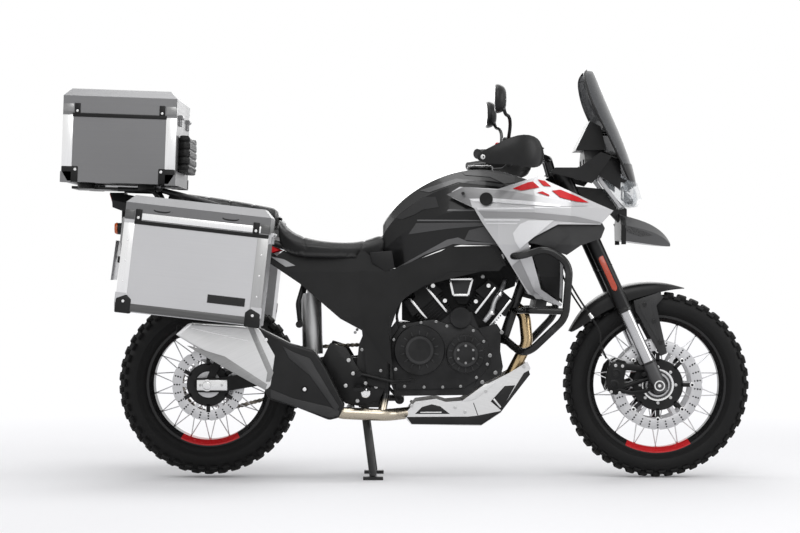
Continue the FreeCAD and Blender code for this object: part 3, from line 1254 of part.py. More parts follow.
def belt_places(first, first_radius, second, second_radius, y, pitch):
    """Places a link apart along a belt round two circles, with the outward direction at each."""
    a, b = Vector(first.x, y, first.z), Vector(second.x, y, second.z)
    run = b - a
    length = run.Length
    run.normalize()
    up = Vector(-run.z, 0, run.x)
    lean = math.asin((first_radius - second_radius) / length)
    span = math.sqrt(length ** 2 - (first_radius - second_radius) ** 2)
    top = run * math.sin(lean) + up * math.cos(lean)
    low = run * math.sin(lean) - up * math.cos(lean)
    along_top = run * math.cos(lean) - up * math.sin(lean)
    along_low = run * math.cos(lean) + up * math.sin(lean)
    second_arc, first_arc = second_radius * (math.pi - 2 * lean), first_radius * (math.pi + 2 * lean)
    whole = 2 * span + second_arc + first_arc
    count = 2 * round(whole / pitch)
    places = []
    for i in range(count):
        s = whole * i / count
        if s < span:
            outward, place = top, a + top * first_radius + along_top * s
        elif s < span + second_arc:
            outward = FreeCAD.Rotation(Y_AXIS, math.degrees((s - span) / second_radius)).multVec(top)
            place = b + outward * second_radius
        elif s < 2 * span + second_arc:
            outward, place = low, b + low * second_radius - along_low * (s - span - second_arc)
        else:
            outward = FreeCAD.Rotation(Y_AXIS, math.degrees((s - 2 * span
                                                             - second_arc) / first_radius)).multVec(low)
            place = a + outward * first_radius
        places.append((place, outward))
    return places


def make_chain():
    """The chain's loop round both sprockets, and the small sprocket on the engine's shaft."""
    front = side(.398, .272)
    rear = Vector(S.rear_x, 0, S.rear_z)
    small = S.front_sprocket_radius
    large = S.sprocket_radius + S.chain_height
    y = S.sprocket_offset - S.chain_width / 2
    outer, inner = [], []
    waist_share = 0.7
    for i, (place, outward) in enumerate(belt_places(rear, large, front, small, y, S.chain_pitch)):
        half = S.chain_height / 2 * (waist_share if i % 2 else 1)
        outer.append(place + outward * half)
        inner.append(place - outward * half)
    loop = Part.Face(polygon(outer)).cut(Part.Face(polygon(inner))).extrude(Y_AXIS * S.chain_width)
    node(loop, "drive_chain")
    shaft = drum(front + Y_AXIS * (S.sprocket_offset - S.chain_width), S.front_sprocket_radius * 0.5,
                 S.chain_width * 1.6)
    wheel = drum(front + Y_AXIS * (S.sprocket_offset - S.sprocket_thickness / 2), small - S.chain_height / 2,
                 S.sprocket_thickness)
    node(join([shaft, wheel]), "front_sprocket")


# Cases

def hollow_box(label, outline, inner, length, wall):
    """A case: its outline pushed out along its length, less the space inside its walls."""
    body = doc.addObject("PartDesign::Body", label)
    first = closed_sketch(body, "YZ_Plane", outline)
    pad = body.newObject("PartDesign::Pad", label + "_walls")
    pad.Profile = first
    bind(pad, "Length", length)
    doc.recompute()
    solid = body.Shape.Volume
    second = closed_sketch(body, "YZ_Plane", inner, wall)
    pocket = body.newObject("PartDesign::Pocket", label + "_space")
    pocket.Profile = second
    bind(pocket, "Length", length - 2 * wall)
    pocket.Reversed = True
    doc.recompute()
    if body.Shape.Volume > 0.5 * solid:
        raise SystemExit(f"{label} is not hollow")
    return body


def frustum(length, depth, band, bevel, rise, inset=0.0, drop=0.0):
    """A lid's block, from Y 0 to minus its depth: an upright band under a top whose four sides lean in."""
    low = add("Part::Box", "band", Length=length - 2 * inset, Width=depth - 2 * inset, Height=band + drop)
    low.Placement.Base = Vector(inset, -depth + inset, -drop)
    top = add("Part::Wedge", "top", Xmin=0.0, Ymin=0.0, Zmin=0.0, Xmax=length - 2 * inset, Ymax=rise,
              Zmax=depth - 2 * inset, X2min=bevel, X2max=length - 2 * inset - bevel,
              Z2min=bevel, Z2max=depth - 2 * inset - bevel)
    top.Placement = FreeCAD.Placement(Vector(inset, -inset, band), FreeCAD.Rotation(X_AXIS, 90))
    return join([low, top])


def case_set(label, length, depth, height, lid_height, bevel, lean):
    """A case and its lid, with X forward from the rear of it and Y out to minus its depth."""
    wall = S.case_wall
    outline = [(0.0, 0.0), (-(depth - bevel), 0.0), (-depth, bevel), (-depth, height), (0.0, height)]
    inner = [(-wall, wall), (-(depth - bevel), wall), (-(depth - wall), bevel + wall / 2),
             (-(depth - wall), height + S.overrun), (-wall, height + S.overrun)]
    if not lean:
        outline = [(0.0, 0.0), (-depth, 0.0), (-depth, height), (0.0, height)]
        inner = [(-wall, wall), (-(depth - wall), wall), (-(depth - wall), height + S.overrun),
                 (-wall, height + S.overrun)]
    box = hollow_box(label + "_box", outline, inner, length, wall)
    middles = [-depth * share for share in (0.22, 0.78)]
    reach = length + S.hinge_radius + S.lid_gap
    top = height + S.lid_gap
    half, radius = S.hinge_length / 2, S.hinge_radius
    low_parts, high_parts = [box], []
    for y in middles:
        centre = Vector(reach, y, top)
        low_parts.append(drum(centre - Y_AXIS * half, S.hinge_pin_radius, 2 * half))
        for start in (-half, half * 0.5):
            low_parts.append(drum(centre + Y_AXIS * start, radius, half * 0.5))
            low_parts.append(block(Vector(length - S.case_wall, y + start, height - S.hinge_length / 2),
                                   S.case_wall + radius, half * 0.5, S.hinge_length / 2))
        high_parts.append((centre, half * 0.5 - S.clearance))
    case = join(low_parts + corner_brackets(length, depth, bevel if lean else 0.0))
    lid = trim(frustum(length, depth, S.seal_height + lid_height - S.lid_bevel, S.lid_bevel, S.lid_bevel),
               frustum(length, depth, S.seal_height + lid_height - S.lid_bevel, S.lid_bevel,
                       S.lid_bevel - wall,
                       wall, S.overrun))
    lid.Placement.Base = Vector(0, 0, height + S.lid_gap)
    knuckles = []
    for centre, h in high_parts:
        knuckles.append(drum(centre - Y_AXIS * h, radius, 2 * h))
        knuckles.append(block(centre - Y_AXIS * h + Vector(-radius - S.lid_gap, 0, 0), radius, 2 * h, radius))
    lid = join([lid] + knuckles)
    lid = trim(lid, *[drum(c - Y_AXIS * (h + S.clearance), S.hinge_pin_radius + S.running_fit,
                           2 * (h + S.clearance))
                      for c, h in high_parts])
    return case, lid, Vector(reach, 0, top)


def corner_brackets(length, depth, bevel):
    """A bracket wrapped over each foot corner of a case, on the outer side only where it has a bevel."""
    wall, leg = S.corner_wall, S.corner_leg
    if bevel:
        corners = [(-depth, leg + bevel), (-depth - wall, leg + bevel), (-depth - wall, bevel),
                   (-depth + bevel, -wall),
                   (-depth + bevel + leg, -wall), (-depth + bevel + leg, 0.0), (-depth + bevel, 0.0),
                   (-depth, bevel)]
        outlines = [corners]
    else:
        corners = [(-depth, leg), (-depth - wall, leg), (-depth - wall, -wall), (-depth + leg, -wall),
                   (-depth + leg, 0.0), (-depth, 0.0)]
        outlines = [corners, [(-depth - y, z) for y, z in corners]]
    parts = []
    for start in (-wall, length - leg):
        for outline in outlines:
            face = Part.Face(polygon([Vector(start, y, z) for y, z in outline]))
            parts.append(face.extrude(X_AXIS * (leg + wall)))
    return parts


def put(thing, place):
    """A form moved to a place as a whole."""
    made = group([thing])
    made.Placement = place
    return made


LATCH_RISE_SHARE = 0.62


def side_case_place():
    return FreeCAD.Placement(side(-.1772, .3785, -S.side_case_inner),
                             FreeCAD.Rotation(Y_AXIS, S.side_case_tilt))


def top_case_place():
    """The top case stands so that the low corner of its latch is the rearmost point of all."""
    tilt = math.radians(S.top_case_tilt)
    rise = LATCH_RISE_SHARE * S.top_case_height
    back = S.rear_reach - S.latch_depth * math.cos(tilt) + rise * math.sin(tilt)
    base = Vector(S.rear_x - back, S.top_case_width / 2, side(0, .6585).z)
    return FreeCAD.Placement(base, FreeCAD.Rotation(Y_AXIS, S.top_case_tilt))


def make_cases(carrier):
    case, lid, hinge = case_set("side", S.side_case_length, S.side_case_depth, S.side_case_height,
                                S.side_lid_height, S.case_bevel, True)
    right, right_lid = put(case, side_case_place()), put(lid, side_case_place())
    node(right, "pannier_right")
    node(mirror(right), "pannier_left")
    node(right_lid, "pannier_right_lid")
    node(mirror(right_lid), "pannier_left_lid")
    case, lid, top_hinge = case_set("top", S.top_case_length, S.top_case_width, S.top_case_height,
                                    S.top_lid_height, S.case_bevel, False)
    feet = []
    for x_share in (0.2, 0.8):
        for y_share in (0.36, 0.64):
            foot = Vector(S.top_case_length * x_share, -S.top_case_width * y_share, -S.top_case_lift)
            feet.append(drum(foot, S.hinge_radius * 2, S.top_case_lift, Z_AXIS))
    latch = block(Vector(-S.latch_depth, -(S.top_case_width + S.latch_width) / 2,
                         S.top_case_height * LATCH_RISE_SHARE),
                  S.latch_depth, S.latch_width, S.latch_length * 0.8)
    case = join([case] + feet + [latch])
    top = trim(put(case, top_case_place()), carrier)
    node(top, "top_case")
    node(put(lid, top_case_place()), "top_case_lid")
    pad = wrapped(Part.makeBox(S.pad_thickness, S.top_case_width * 0.62, S.top_case_height * 0.56,
                               Vector(S.top_case_length, -S.top_case_width * 0.81, S.top_case_height * 0.2)))
    node(put(pad, top_case_place()), "backrest_pad")
    return hinge, top_hinge


# Stands

def make_stands():
    pivot = stand_pivot()
    reach = S.pivot_half_width - S.clearance
    parts = [drum(pivot - Y_AXIS * reach, S.stand_pivot_radius + S.clamp_wall, 2 * reach)]
    braces = []
    for sign in (-1, 1):
        hip = pivot + Y_AXIS * sign * (S.pivot_half_width - S.stand_radius * 1.8)
        foot = Vector(pivot.x + S.stand_lead, sign * S.stand_half_width, S.stand_radius)
        parts.append(rod(hip, foot, S.stand_radius))
        parts.append(block(Vector(foot.x - S.stand_foot_length / 2, foot.y - S.stand_foot_radius, 0),
                           S.stand_foot_length, 2 * S.stand_foot_radius, S.stand_radius * 0.9))
        braces.append(hip + (foot - hip) * 0.42)
    parts.append(rod(braces[0], braces[1], S.stand_radius * 0.8))
    under = block(Vector(pivot.x - S.stand_foot_length * 2, -S.stand_half_width * 2, -S.overrun),
                  S.stand_foot_length * 4, S.stand_half_width * 4, S.overrun)
    bore = drum(pivot - Y_AXIS * (reach + S.overrun), S.stand_pivot_radius + S.running_fit,
                2 * (reach + S.overrun))
    node(trim(join(parts), under, bore), "centre_stand")


def prop_pivot():
    return side(.425, .172, S.pivot_half_width + S.plate_thickness + S.prop_radius + S.prop_gap)


def prop_axis():
    splay = math.radians(S.prop_splay)
    return Vector(0, -math.cos(splay), -math.sin(splay))


def make_side_stand():
    """A leg that lies back along the left side, on a pin through its bracket."""
    pivot, axis = prop_pivot(), prop_axis()
    hub = S.prop_radius + S.clamp_wall / 2
    half = S.prop_radius + S.clearance
    eye = rod(pivot - axis * half, pivot + axis * half, hub)
    leg = rod(pivot - X_AXIS * hub * 0.6, pivot - X_AXIS * S.prop_length, S.prop_radius)
    tip = pivot - X_AXIS * S.prop_length
    foot = drum(tip + X_AXIS * S.prop_radius * 0.2, S.stand_foot_radius * 1.2, S.prop_radius * 0.8, -X_AXIS)
    leg = join([eye, leg, foot])
    bore = rod(pivot - axis * half * 2, pivot + axis * half * 2, S.hinge_radius + S.running_fit)
    node(trim(leg, bore), "side_stand")
    pin = rod(pivot + axis * (half + S.prop_radius), pivot - axis * (half + S.clearance), S.hinge_radius)
    lug = rod(pivot + axis * (half + S.clearance * 2), pivot + axis * (half + S.prop_radius), hub)
    anchor = side(.393, .205, S.pivot_half_width + S.plate_thickness / 2)
    arm = rod(pivot + axis * (half + S.clearance * 2 + S.prop_radius * 0.6), anchor, S.prop_radius * 0.5)
    return [pin, lug, arm]


def build():
    make_tyres()
    make_rims()
    make_discs()
    make_fork()
    fork = NODES[-1]
    make_handlebar(fork)
    make_hand_guards()
    make_mirrors()
    make_front_fender(fork)
    make_front_calipers(fork)
    frame = frame_form()
    frame = join([frame] + make_side_stand())
    node(frame, "frame")
    arm = swingarm_form()
    node(arm, "swingarm")
    node(shock_form(frame, arm), "rear_shock")
    make_rear_caliper(arm)
    case = trim(crankcase_form(), frame)
    case = largest(case)
    node(case, "engine_crankcase")
    cylinders = largest(trim(cylinders_form(case), frame))
    node(cylinders, "engine_cylinders")
    shield = slab(SHIELD_SHARES, -S.silencer_outer, -S.silencer_inner)
    node(shield, "muffler_shield")
    node(trim(slab(MUFFLER_SHARES, -S.silencer_outer, -S.silencer_inner), shield), "muffler")
    skid = skid_form()
    node(largest(trim(skid, case, frame)), "skid_plate")
    node(headers_form([case, cylinders, shield, frame, NODES[-1]]), "exhaust_headers")
    radiator = make_radiator(frame)
    bars = make_crash_bars(frame, case)
    pillion, tail, fairings = make_body(frame, case, cylinders, radiator, bars)
    make_nose(frame, [fairings])
    make_carrier(frame, tail, pillion)
    make_foot_controls(frame, case)
    make_chain()
    make_cases(NODES[[n.Label for n in NODES].index("luggage_carrier")])
    make_stands()


build()
doc.recompute()

for thing in doc.Objects:
    if "Invalid" in thing.State or "Error" in thing.State:
        raise SystemExit(f"{thing.Label} failed to build: {thing.State}")
os.makedirs("parts", exist_ok=True)
for thing in NODES:
    shape = thing.Shape
    if shape.isNull() or not shape.isValid() or not shape.Solids:
        raise SystemExit(f"{thing.Label} has no valid solid")
    shape.exportStep(f"parts/{thing.Label}.step")
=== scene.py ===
"""Adventure touring motorcycle with aluminium cases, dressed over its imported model.

Places on the side of the machine are shares of the wheelbase, forward from the rear axle and up
from the ground, as in the part's source. Everything else is in metres.
"""
import json
import math

import bmesh
import bpy
from mathutils import Matrix, Vector


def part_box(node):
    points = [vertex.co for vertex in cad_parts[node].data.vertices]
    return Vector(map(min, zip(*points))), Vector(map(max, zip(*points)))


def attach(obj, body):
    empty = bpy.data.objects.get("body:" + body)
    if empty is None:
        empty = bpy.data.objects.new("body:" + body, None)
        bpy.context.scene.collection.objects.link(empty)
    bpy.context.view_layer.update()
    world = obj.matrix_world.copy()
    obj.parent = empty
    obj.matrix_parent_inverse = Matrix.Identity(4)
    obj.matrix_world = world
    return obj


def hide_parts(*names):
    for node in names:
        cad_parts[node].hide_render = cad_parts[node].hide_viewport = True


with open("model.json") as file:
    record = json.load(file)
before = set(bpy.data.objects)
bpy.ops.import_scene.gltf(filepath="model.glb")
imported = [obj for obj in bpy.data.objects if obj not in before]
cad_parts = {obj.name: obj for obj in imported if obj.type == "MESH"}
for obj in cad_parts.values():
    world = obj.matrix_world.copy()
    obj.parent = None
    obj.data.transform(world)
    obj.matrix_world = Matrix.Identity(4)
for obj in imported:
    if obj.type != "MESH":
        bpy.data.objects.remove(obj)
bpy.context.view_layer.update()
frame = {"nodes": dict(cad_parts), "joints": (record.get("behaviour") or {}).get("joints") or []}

JOINTS = {joint["name"]: Vector(joint["pos_m"]) for joint in frame["joints"]}
REAR_AXLE, FRONT_AXLE = JOINTS["rear_wheel_spin"], JOINTS["front_wheel_spin"]
WHEELBASE = FRONT_AXLE.x - REAR_AXLE.x
RAKE = math.radians(24.5)
UP_FORK = Vector((-math.sin(RAKE), 0, math.cos(RAKE)))
AHEAD_OF_FORK = Vector((math.cos(RAKE), 0, math.sin(RAKE)))
FORK_HALF = .105
HANDS = ((-1, "right"), (1, "left"))
MIRROR_TURN = math.radians(3)
SIDE_TILT, TOP_TILT = math.radians(6.5), math.radians(2)
X, Y, Z = Vector((1, 0, 0)), Vector((0, 1, 0)), Vector((0, 0, 1))


def side(forward, up, y=0.0):
    """A place on the side of the machine, from shares of the wheelbase."""
    return Vector((REAR_AXLE.x + forward * WHEELBASE, y, up * WHEELBASE))


def by_fork(reach, ahead=0.0, y=0.0):
    """A place beside the fork, so far up from the front axle."""
    return FRONT_AXLE + UP_FORK * reach + AHEAD_OF_FORK * ahead + Y * y


# Finishes

class Number:
    """A number that varies over a surface: sums with it add the nodes that work them out."""

    def __init__(self, finish, socket):
        self.finish, self.socket = finish, socket

    def sum(self, operation, first, second=0.0):
        made = self.finish.node("ShaderNodeMath", {"operation": operation}, {0: first, 1: second})
        return Number(self.finish, made.outputs[0])

    def __add__(self, other):
        return self.sum("ADD", self, other)

    def __sub__(self, other):
        return self.sum("SUBTRACT", self, other)

    def __rsub__(self, other):
        return self.sum("SUBTRACT", other, self)

    def __mul__(self, other):
        return self.sum("MULTIPLY", self, other)

    def __truediv__(self, other):
        return self.sum("DIVIDE", self, other)

    def __pow__(self, other):
        return self.sum("POWER", self, other)

    __radd__, __rmul__ = __add__, __mul__

    def wave(self):
        return self.sum("SINE", self)

    def larger(self, other):
        return self.sum("MAXIMUM", self, other)

    def smaller(self, other):
        return self.sum("MINIMUM", self, other)

    def above(self, edge, soft=.0006):
        """From 0 below an edge to 1 above it."""
        made = self.finish.node("ShaderNodeMapRange", {"interpolation_type": "SMOOTHSTEP"},
                                {0: self, 1: edge - soft, 2: edge + soft})
        return Number(self.finish, made.outputs[0])

    def below(self, edge, soft=.0006):
        return 1 - self.above(edge, soft)

    def between(self, low, high, soft=.0006):
        return self.above(low, soft) * self.below(high, soft)


class Finish:
    """A material on Object coordinates, built up node by node."""

    def __init__(self, name, **constants):
        self.material = bpy.data.materials.new(name)
        self.material.use_nodes = True
        self.tree = self.material.node_tree
        self.shader = self.tree.nodes["Principled BSDF"]
        for label, value in constants.items():
            self.shader.inputs[label.replace("_", " ")].default_value = value
        self.place = self.node("ShaderNodeTexCoord").outputs["Object"]
        self.heights = []

    def node(self, kind, settings=None, values=None):
        """Any node: its settings first, then the values or links of its sockets."""
        made = self.tree.nodes.new(kind)
        for name, value in (settings or {}).items():
            setattr(made, name, value)
        for key, value in (values or {}).items():
            self.feed(made.inputs[key], value)
        return made

    def feed(self, socket, value):
        value = value.socket if isinstance(value, Number) else value
        if isinstance(value, bpy.types.NodeSocket):
            self.tree.links.new(value, socket)
        else:
            socket.default_value = value

    def turned(self, angle, about=(0, 0, 0)):
        """The pattern's place, turned about an axis across the machine."""
        moved = self.node("ShaderNodeVectorMath", {"operation": "SUBTRACT"}, {0: self.place, 1: about})
        made = self.node("ShaderNodeVectorRotate", {"rotation_type": "Y_AXIS"},
                         {"Vector": moved.outputs[0], "Angle": angle})
        self.place = made.outputs[0]
        return self

    def axes(self):
        made = self.node("ShaderNodeSeparateXYZ", None, {0: self.place})
        return [Number(self, made.outputs[i]) for i in range(3)]

    def stretched(self, stretch):
        return self.node("ShaderNodeVectorMath", {"operation": "MULTIPLY"},
                         {0: self.place, 1: stretch}).outputs[0]

    def noise(self, scale, detail=2.0, stretch=(1, 1, 1), rough=.5):
        made = self.node("ShaderNodeTexNoise", None, {"Vector": self.stretched(stretch), "Scale": scale,
                                                     "Detail": detail, "Roughness": rough})
        return Number(self, made.outputs["Fac"])

    def cells(self, scale, feature="F1"):
        made = self.node("ShaderNodeTexVoronoi", {"feature": feature},
                         {"Vector": self.place, "Scale": scale})
        return Number(self, made.outputs["Distance"])

    def from_axle(self, centre):
        """Distance from an axle across the machine, and the angle round it."""
        x, _, z = self.axes()
        x, z = x - centre.x, z - centre.z
        return (x * x + z * z) ** .5, z.sum("ARCTAN2", z, x)

    def mix(self, mask, first, second):
        """One colour or number where the mask is 0, the other where it is 1."""
        made = self.node("ShaderNodeMix", {"data_type": "RGBA"})
        self.feed(made.inputs[0], mask)
        self.feed(made.inputs[6], first)
        self.feed(made.inputs[7], second)
        return made.outputs[2]

    def colour(self, value):
        self.feed(self.shader.inputs["Base Color"], value)

    def rough(self, value):
        self.feed(self.shader.inputs["Roughness"], value)

    def metal(self, value):
        self.feed(self.shader.inputs["Metallic"], value)

    def relief(self, height, distance=.001, strength=1.0):
        made = self.node("ShaderNodeBump", None, {"Height": height, "Distance": distance,
                                                  "Strength": strength})
        if self.heights:
            self.feed(made.inputs["Normal"], self.heights[-1].outputs[0])
        self.heights.append(made)
        self.feed(self.shader.inputs["Normal"], made.outputs[0])


def shade(value):
    """A grey with a trace of blue."""
    return (value, value, value * 1.02, 1.0)


RED = (.58, .012, .016, 1)


def moulded(name, tone, rough, grain=1500, depth=.00025):
    """Moulded plastic with a fine spark-eroded grain and faint rubbing."""
    f = Finish(name, Specular_IOR_Level=.22)
    fine, broad = f.noise(grain, 2), f.noise(9, 4)
    f.colour(f.mix(broad.above(.5, .35), shade(tone), shade(tone * 1.35 + .004)))
    f.rough(rough + (broad - .5) * .22 + (fine - .5) * .1)
    f.relief(fine, depth, .6)
    return f


def powder_coat(name, tone, rough):
    """Powder coat over steel tube: glossy, with a slight orange peel and dust in the hollows."""
    f = Finish(name, Specular_IOR_Level=.3, Coat_Weight=.12, Coat_Roughness=.15)
    peel, broad = f.noise(420, 1), f.noise(14, 5)
    f.colour(f.mix(broad.above(.62, .1), shade(tone), shade(tone + .018)))
    f.rough(rough + (broad - .5) * .2)
    f.relief(peel, .0003, .35)
    return f


def brushed(name, tone, rough, stretch, tilt=0.0, polish=.08):
    """Metal with a brushed grain in one direction, smudged here and there."""
    f = Finish(name, Metallic=1.0)
    if tilt:
        f.turned(-tilt)
    grain, smudge = f.noise(1.0, 6, stretch, .7), f.noise(5, 3)
    dark, light = tone - polish, tone + polish
    f.colour(f.mix(grain, (dark, dark, dark, 1), (light, light, light, 1)))
    f.rough(rough + (grain - .5) * .2 + (smudge - .5) * .14)
    f.relief(grain, .0002, .25)
    return f


def cast(name, tone, rough, metallic, grain):
    """Painted casting: a sandy skin under satin paint."""
    f = Finish(name, Metallic=metallic, Specular_IOR_Level=.25)
    sand, broad = f.noise(grain, 3), f.noise(16, 4)
    f.colour(f.mix(broad.above(.55, .25), shade(tone), shade(tone * 1.5 + .006)))
    f.rough(rough + (sand - .5) * .18 + (broad - .5) * .16)
    f.relief(sand, .0005, .5)
    return f


def lacquer(f, colour, metallic, rough, gloss=.4):
    """Metallic lacquer on a colour: flakes under a clear coat."""
    flake = f.cells(2600)
    f.colour(f.mix(flake.above(.42, .3) * .05 * gloss, colour, shade(.7)))
    f.rough(rough + (flake - .5) * .12)
    f.feed(f.shader.inputs["Metallic"], f.noise(1200, 1) * .12 + metallic)
    f.shader.inputs["Coat Weight"].default_value = gloss
    f.shader.inputs["Specular IOR Level"].default_value = gloss
    f.shader.inputs["Coat Roughness"].default_value = .06
    return f


def plain_lacquer(name, colour, metallic, rough, gloss=.4):
    f = Finish(name)
    return lacquer(f, f.mix(f.noise(3, 2), colour, tuple(c * .94 for c in colour[:3]) + (1,)), metallic,
                   rough, gloss)


def tyre_rubber(name, centre, crown):
    """Tyre rubber: ribs round the sidewall, scuffed and dusty where it meets the road."""
    f = Finish(name, Specular_IOR_Level=.2)
    reach, _ = f.from_axle(centre)
    dust, fine = f.noise(22, 6), f.noise(1100, 2)
    worn = reach.above(crown - .012, .01) * dust.above(.45, .2)
    f.colour(f.mix(worn, shade(.006), (.022, .021, .02, 1)))
    f.rough(.62 + worn * .2 + (dust - .5) * .16)
    ribs = (reach * 2600).wave() * reach.between(crown - .085, crown - .066, .002)
    f.relief(ribs, .0006, .8)
    f.relief(fine, .0003, .4)
    return f


def wheel_finish(name, centre, rim, hub):
    """One wheel: black rim with a red sweep at its foot, bright spokes, a dark hub with a turned edge."""
    f = Finish(name)
    reach, turn = f.from_axle(centre)
    grain = f.noise(700, 3)
    on_rim = reach.above(rim - .0215, .0005)
    sweep = turn.between(-2.05, -1.05, .004) * reach.between(rim - .0225, rim + .0005)
    on_hub = reach.below(hub, .001)
    steel = f.mix(grain, (.5, .5, .51, 1), (.78, .78, .79, 1))
    black = f.mix(grain, shade(.01), shade(.022))
    colour = f.mix(on_hub, steel, f.mix(reach.between(hub - .01, hub - .004), shade(.03), shade(.55)))
    colour = f.mix(on_rim, colour, f.mix(sweep, black, RED))
    f.colour(colour)
    f.metal((1 - on_rim) * .9 + on_rim * (1 - sweep) * .5)
    f.rough(.34 + (grain - .5) * .2 - on_rim * .06)
    f.relief((reach * 5200).wave() * (on_rim + on_hub), .00015, .35)
    f.relief(grain, .0002, .3)
    return f


def turned_steel(name, centre, tone):
    """Steel turned on a lathe: fine rings about its axle."""
    f = Finish(name, Metallic=1.0)
    reach, _ = f.from_axle(centre)
    rings, heat = (reach * 9000).wave(), f.noise(30, 4)
    f.colour(f.mix(heat, shade(tone), shade(tone + .14)))
    f.rough(.36 + rings * .05 + (heat - .5) * .14)
    f.relief(rings, .0001, .35)
    return f


def fork_finish(name):
    """The fork: black upper tubes and clamps, bright sliders, cast feet, by reach along it."""
    f = Finish(name, Metallic=.85)
    f.turned(RAKE, FRONT_AXLE)
    _, _, reach = f.axes()
    grain, rings = f.noise(1.0, 5, (900, 900, 8), .6), f.noise(700, 2)
    slider, foot = reach.between(.088, .288), reach.below(.088)
    black = f.mix(grain, shade(.012), shade(.03))
    bright = f.mix(grain, shade(.36), shade(.6))
    grey = f.mix(rings, shade(.05), shade(.1))
    f.colour(f.mix(foot, f.mix(slider, black, bright), grey))
    f.rough(.34 - slider * .2 + foot * .14 + (grain - .5) * .1)
    f.relief(rings * (1 - slider), .0003, .4)
    return f


def seat_vinyl(name, tone=.01):
    """Grained seat cover: pebbled hide with a duller, worn middle."""
    f = Finish(name, Specular_IOR_Level=.2, Sheen_Weight=.04, Sheen_Roughness=.5)
    hide, crease, broad = f.cells(620, feature="DISTANCE_TO_EDGE"), f.noise(90, 4), f.noise(5, 3)
    f.colour(f.mix(broad.above(.5, .3), shade(tone), shade(tone * 1.7)))
    f.rough(.5 + (crease - .5) * .2 + (broad - .5) * .16)
    f.relief(hide.smaller(.18), .0012, .5)
    f.relief(crease, .0007, .3)
    return f


def case_panel(name, tilt, tone, direction=(2, 2, 300)):
    """Sheet aluminium of a case: satin brushed, with faint handling marks."""
    f = Finish(name, Metallic=.9)
    f.turned(-tilt)
    grain, smear, pits = f.noise(1.0, 6, direction, .7), f.noise(3.5, 4), f.noise(160, 3)
    f.colour(f.mix(grain * .6 + smear * .4, shade(tone * .88), shade(tone * 1.12)))
    f.rough(.42 + (grain - .5) * .16 + (smear - .5) * .16)
    f.relief(grain, .0002, .3)
    f.relief(pits.above(.66, .05), .0002, .3)
    return f


def stainless(name, hot):
    """Exhaust pipe: brushed stainless that straw and blue heat has coloured near the engine, painted near
    black for shade where it runs high towards the rear.
    """
    f = Finish(name, Metallic=1.0)
    x, _, z = f.axes()
    grain, tide = f.noise(1.0, 5, (60, 60, 60), .7), f.noise(7, 4)
    heat = (x - hot) * 3.2 + (tide - .5) * .8
    straw = f.mix(heat.above(.2, .5), (.46, .41, .33, 1), (.46, .34, .19, 1))
    # near black where the pipe runs high towards the rear: painted shade
    high_rear_shade = z.above(.27, .02) * x.below(.1, .02)
    f.colour(f.mix(high_rear_shade, f.mix(heat.above(1.35, .35), straw, (.24, .19, .2, 1)), shade(.02)))
    f.rough(.26 + (grain - .5) * .18)
    f.relief(grain, .0002, .3)
    return f


def clear(name, tint, rough, alpha):
    """Clear moulding: partly see-through, with faint wipe marks."""
    f = Finish(name, Specular_IOR_Level=.6)
    wipe = f.noise(1.0, 5, (9, 9, 60), .6)
    f.colour(f.mix(wipe, tint, tuple(c * .8 for c in tint[:3]) + (1,)))
    f.rough(rough + wipe * .05)
    f.feed(f.shader.inputs["Alpha"], alpha + (wipe - .5) * .06)
    return f


def glow(name, colour):
    """A coloured lens over small prisms."""
    f = Finish(name, Coat_Weight=.6)
    prism = f.cells(420)
    f.colour(f.mix(prism, colour, tuple(c * .55 for c in colour[:3]) + (1,)))
    f.rough(.12 + prism * .2)
    f.relief(prism, .0008, .5)
    return f


def oiled_chain(name):
    f = Finish(name, Metallic=.85)
    grime, edge = f.noise(60, 5), f.noise(900, 2)
    f.colour(f.mix(grime.above(.5, .14), (.34, .31, .26, 1), (.05, .045, .04, 1)))
    f.rough(.36 + grime * .3)
    f.relief(edge, .0003, .4)
    return f


def fine_mesh(name, pitch):
    """Dark sheet pierced in rows."""
    f = Finish(name)
    hole = f.cells(1 / pitch)
    f.colour(f.mix(hole.above(.3, .06), shade(.002), shade(.036)))
    f.rough(.5 + hole * .2)
    f.relief(hole, .002, .8)
    return f


def radiator_core(name):
    f = Finish(name, Metallic=.5)
    _, y, z = f.axes()
    fins = (z * 2100).wave() * .5 + (y * 900).wave() * .5
    f.colour(f.mix(fins.above(0.0, .5), shade(.004), shade(.05)))
    f.rough(.5 + fins * .1)
    f.relief(fins, .0012, .7)
    return f


def reflection_fade(name, dark, light, start, end):
    """Metallic lacquer that lightens along the machine from one share of the wheelbase to another: a painted
    reflection.
    """
    f = Finish(name)
    x = (f.axes()[0] - REAR_AXLE.x) / WHEELBASE
    return lacquer(f, f.mix(((x - start) / (end - start)).larger(0.0).smaller(1.0), shade(dark),
                            shade(light)), .5, .32)


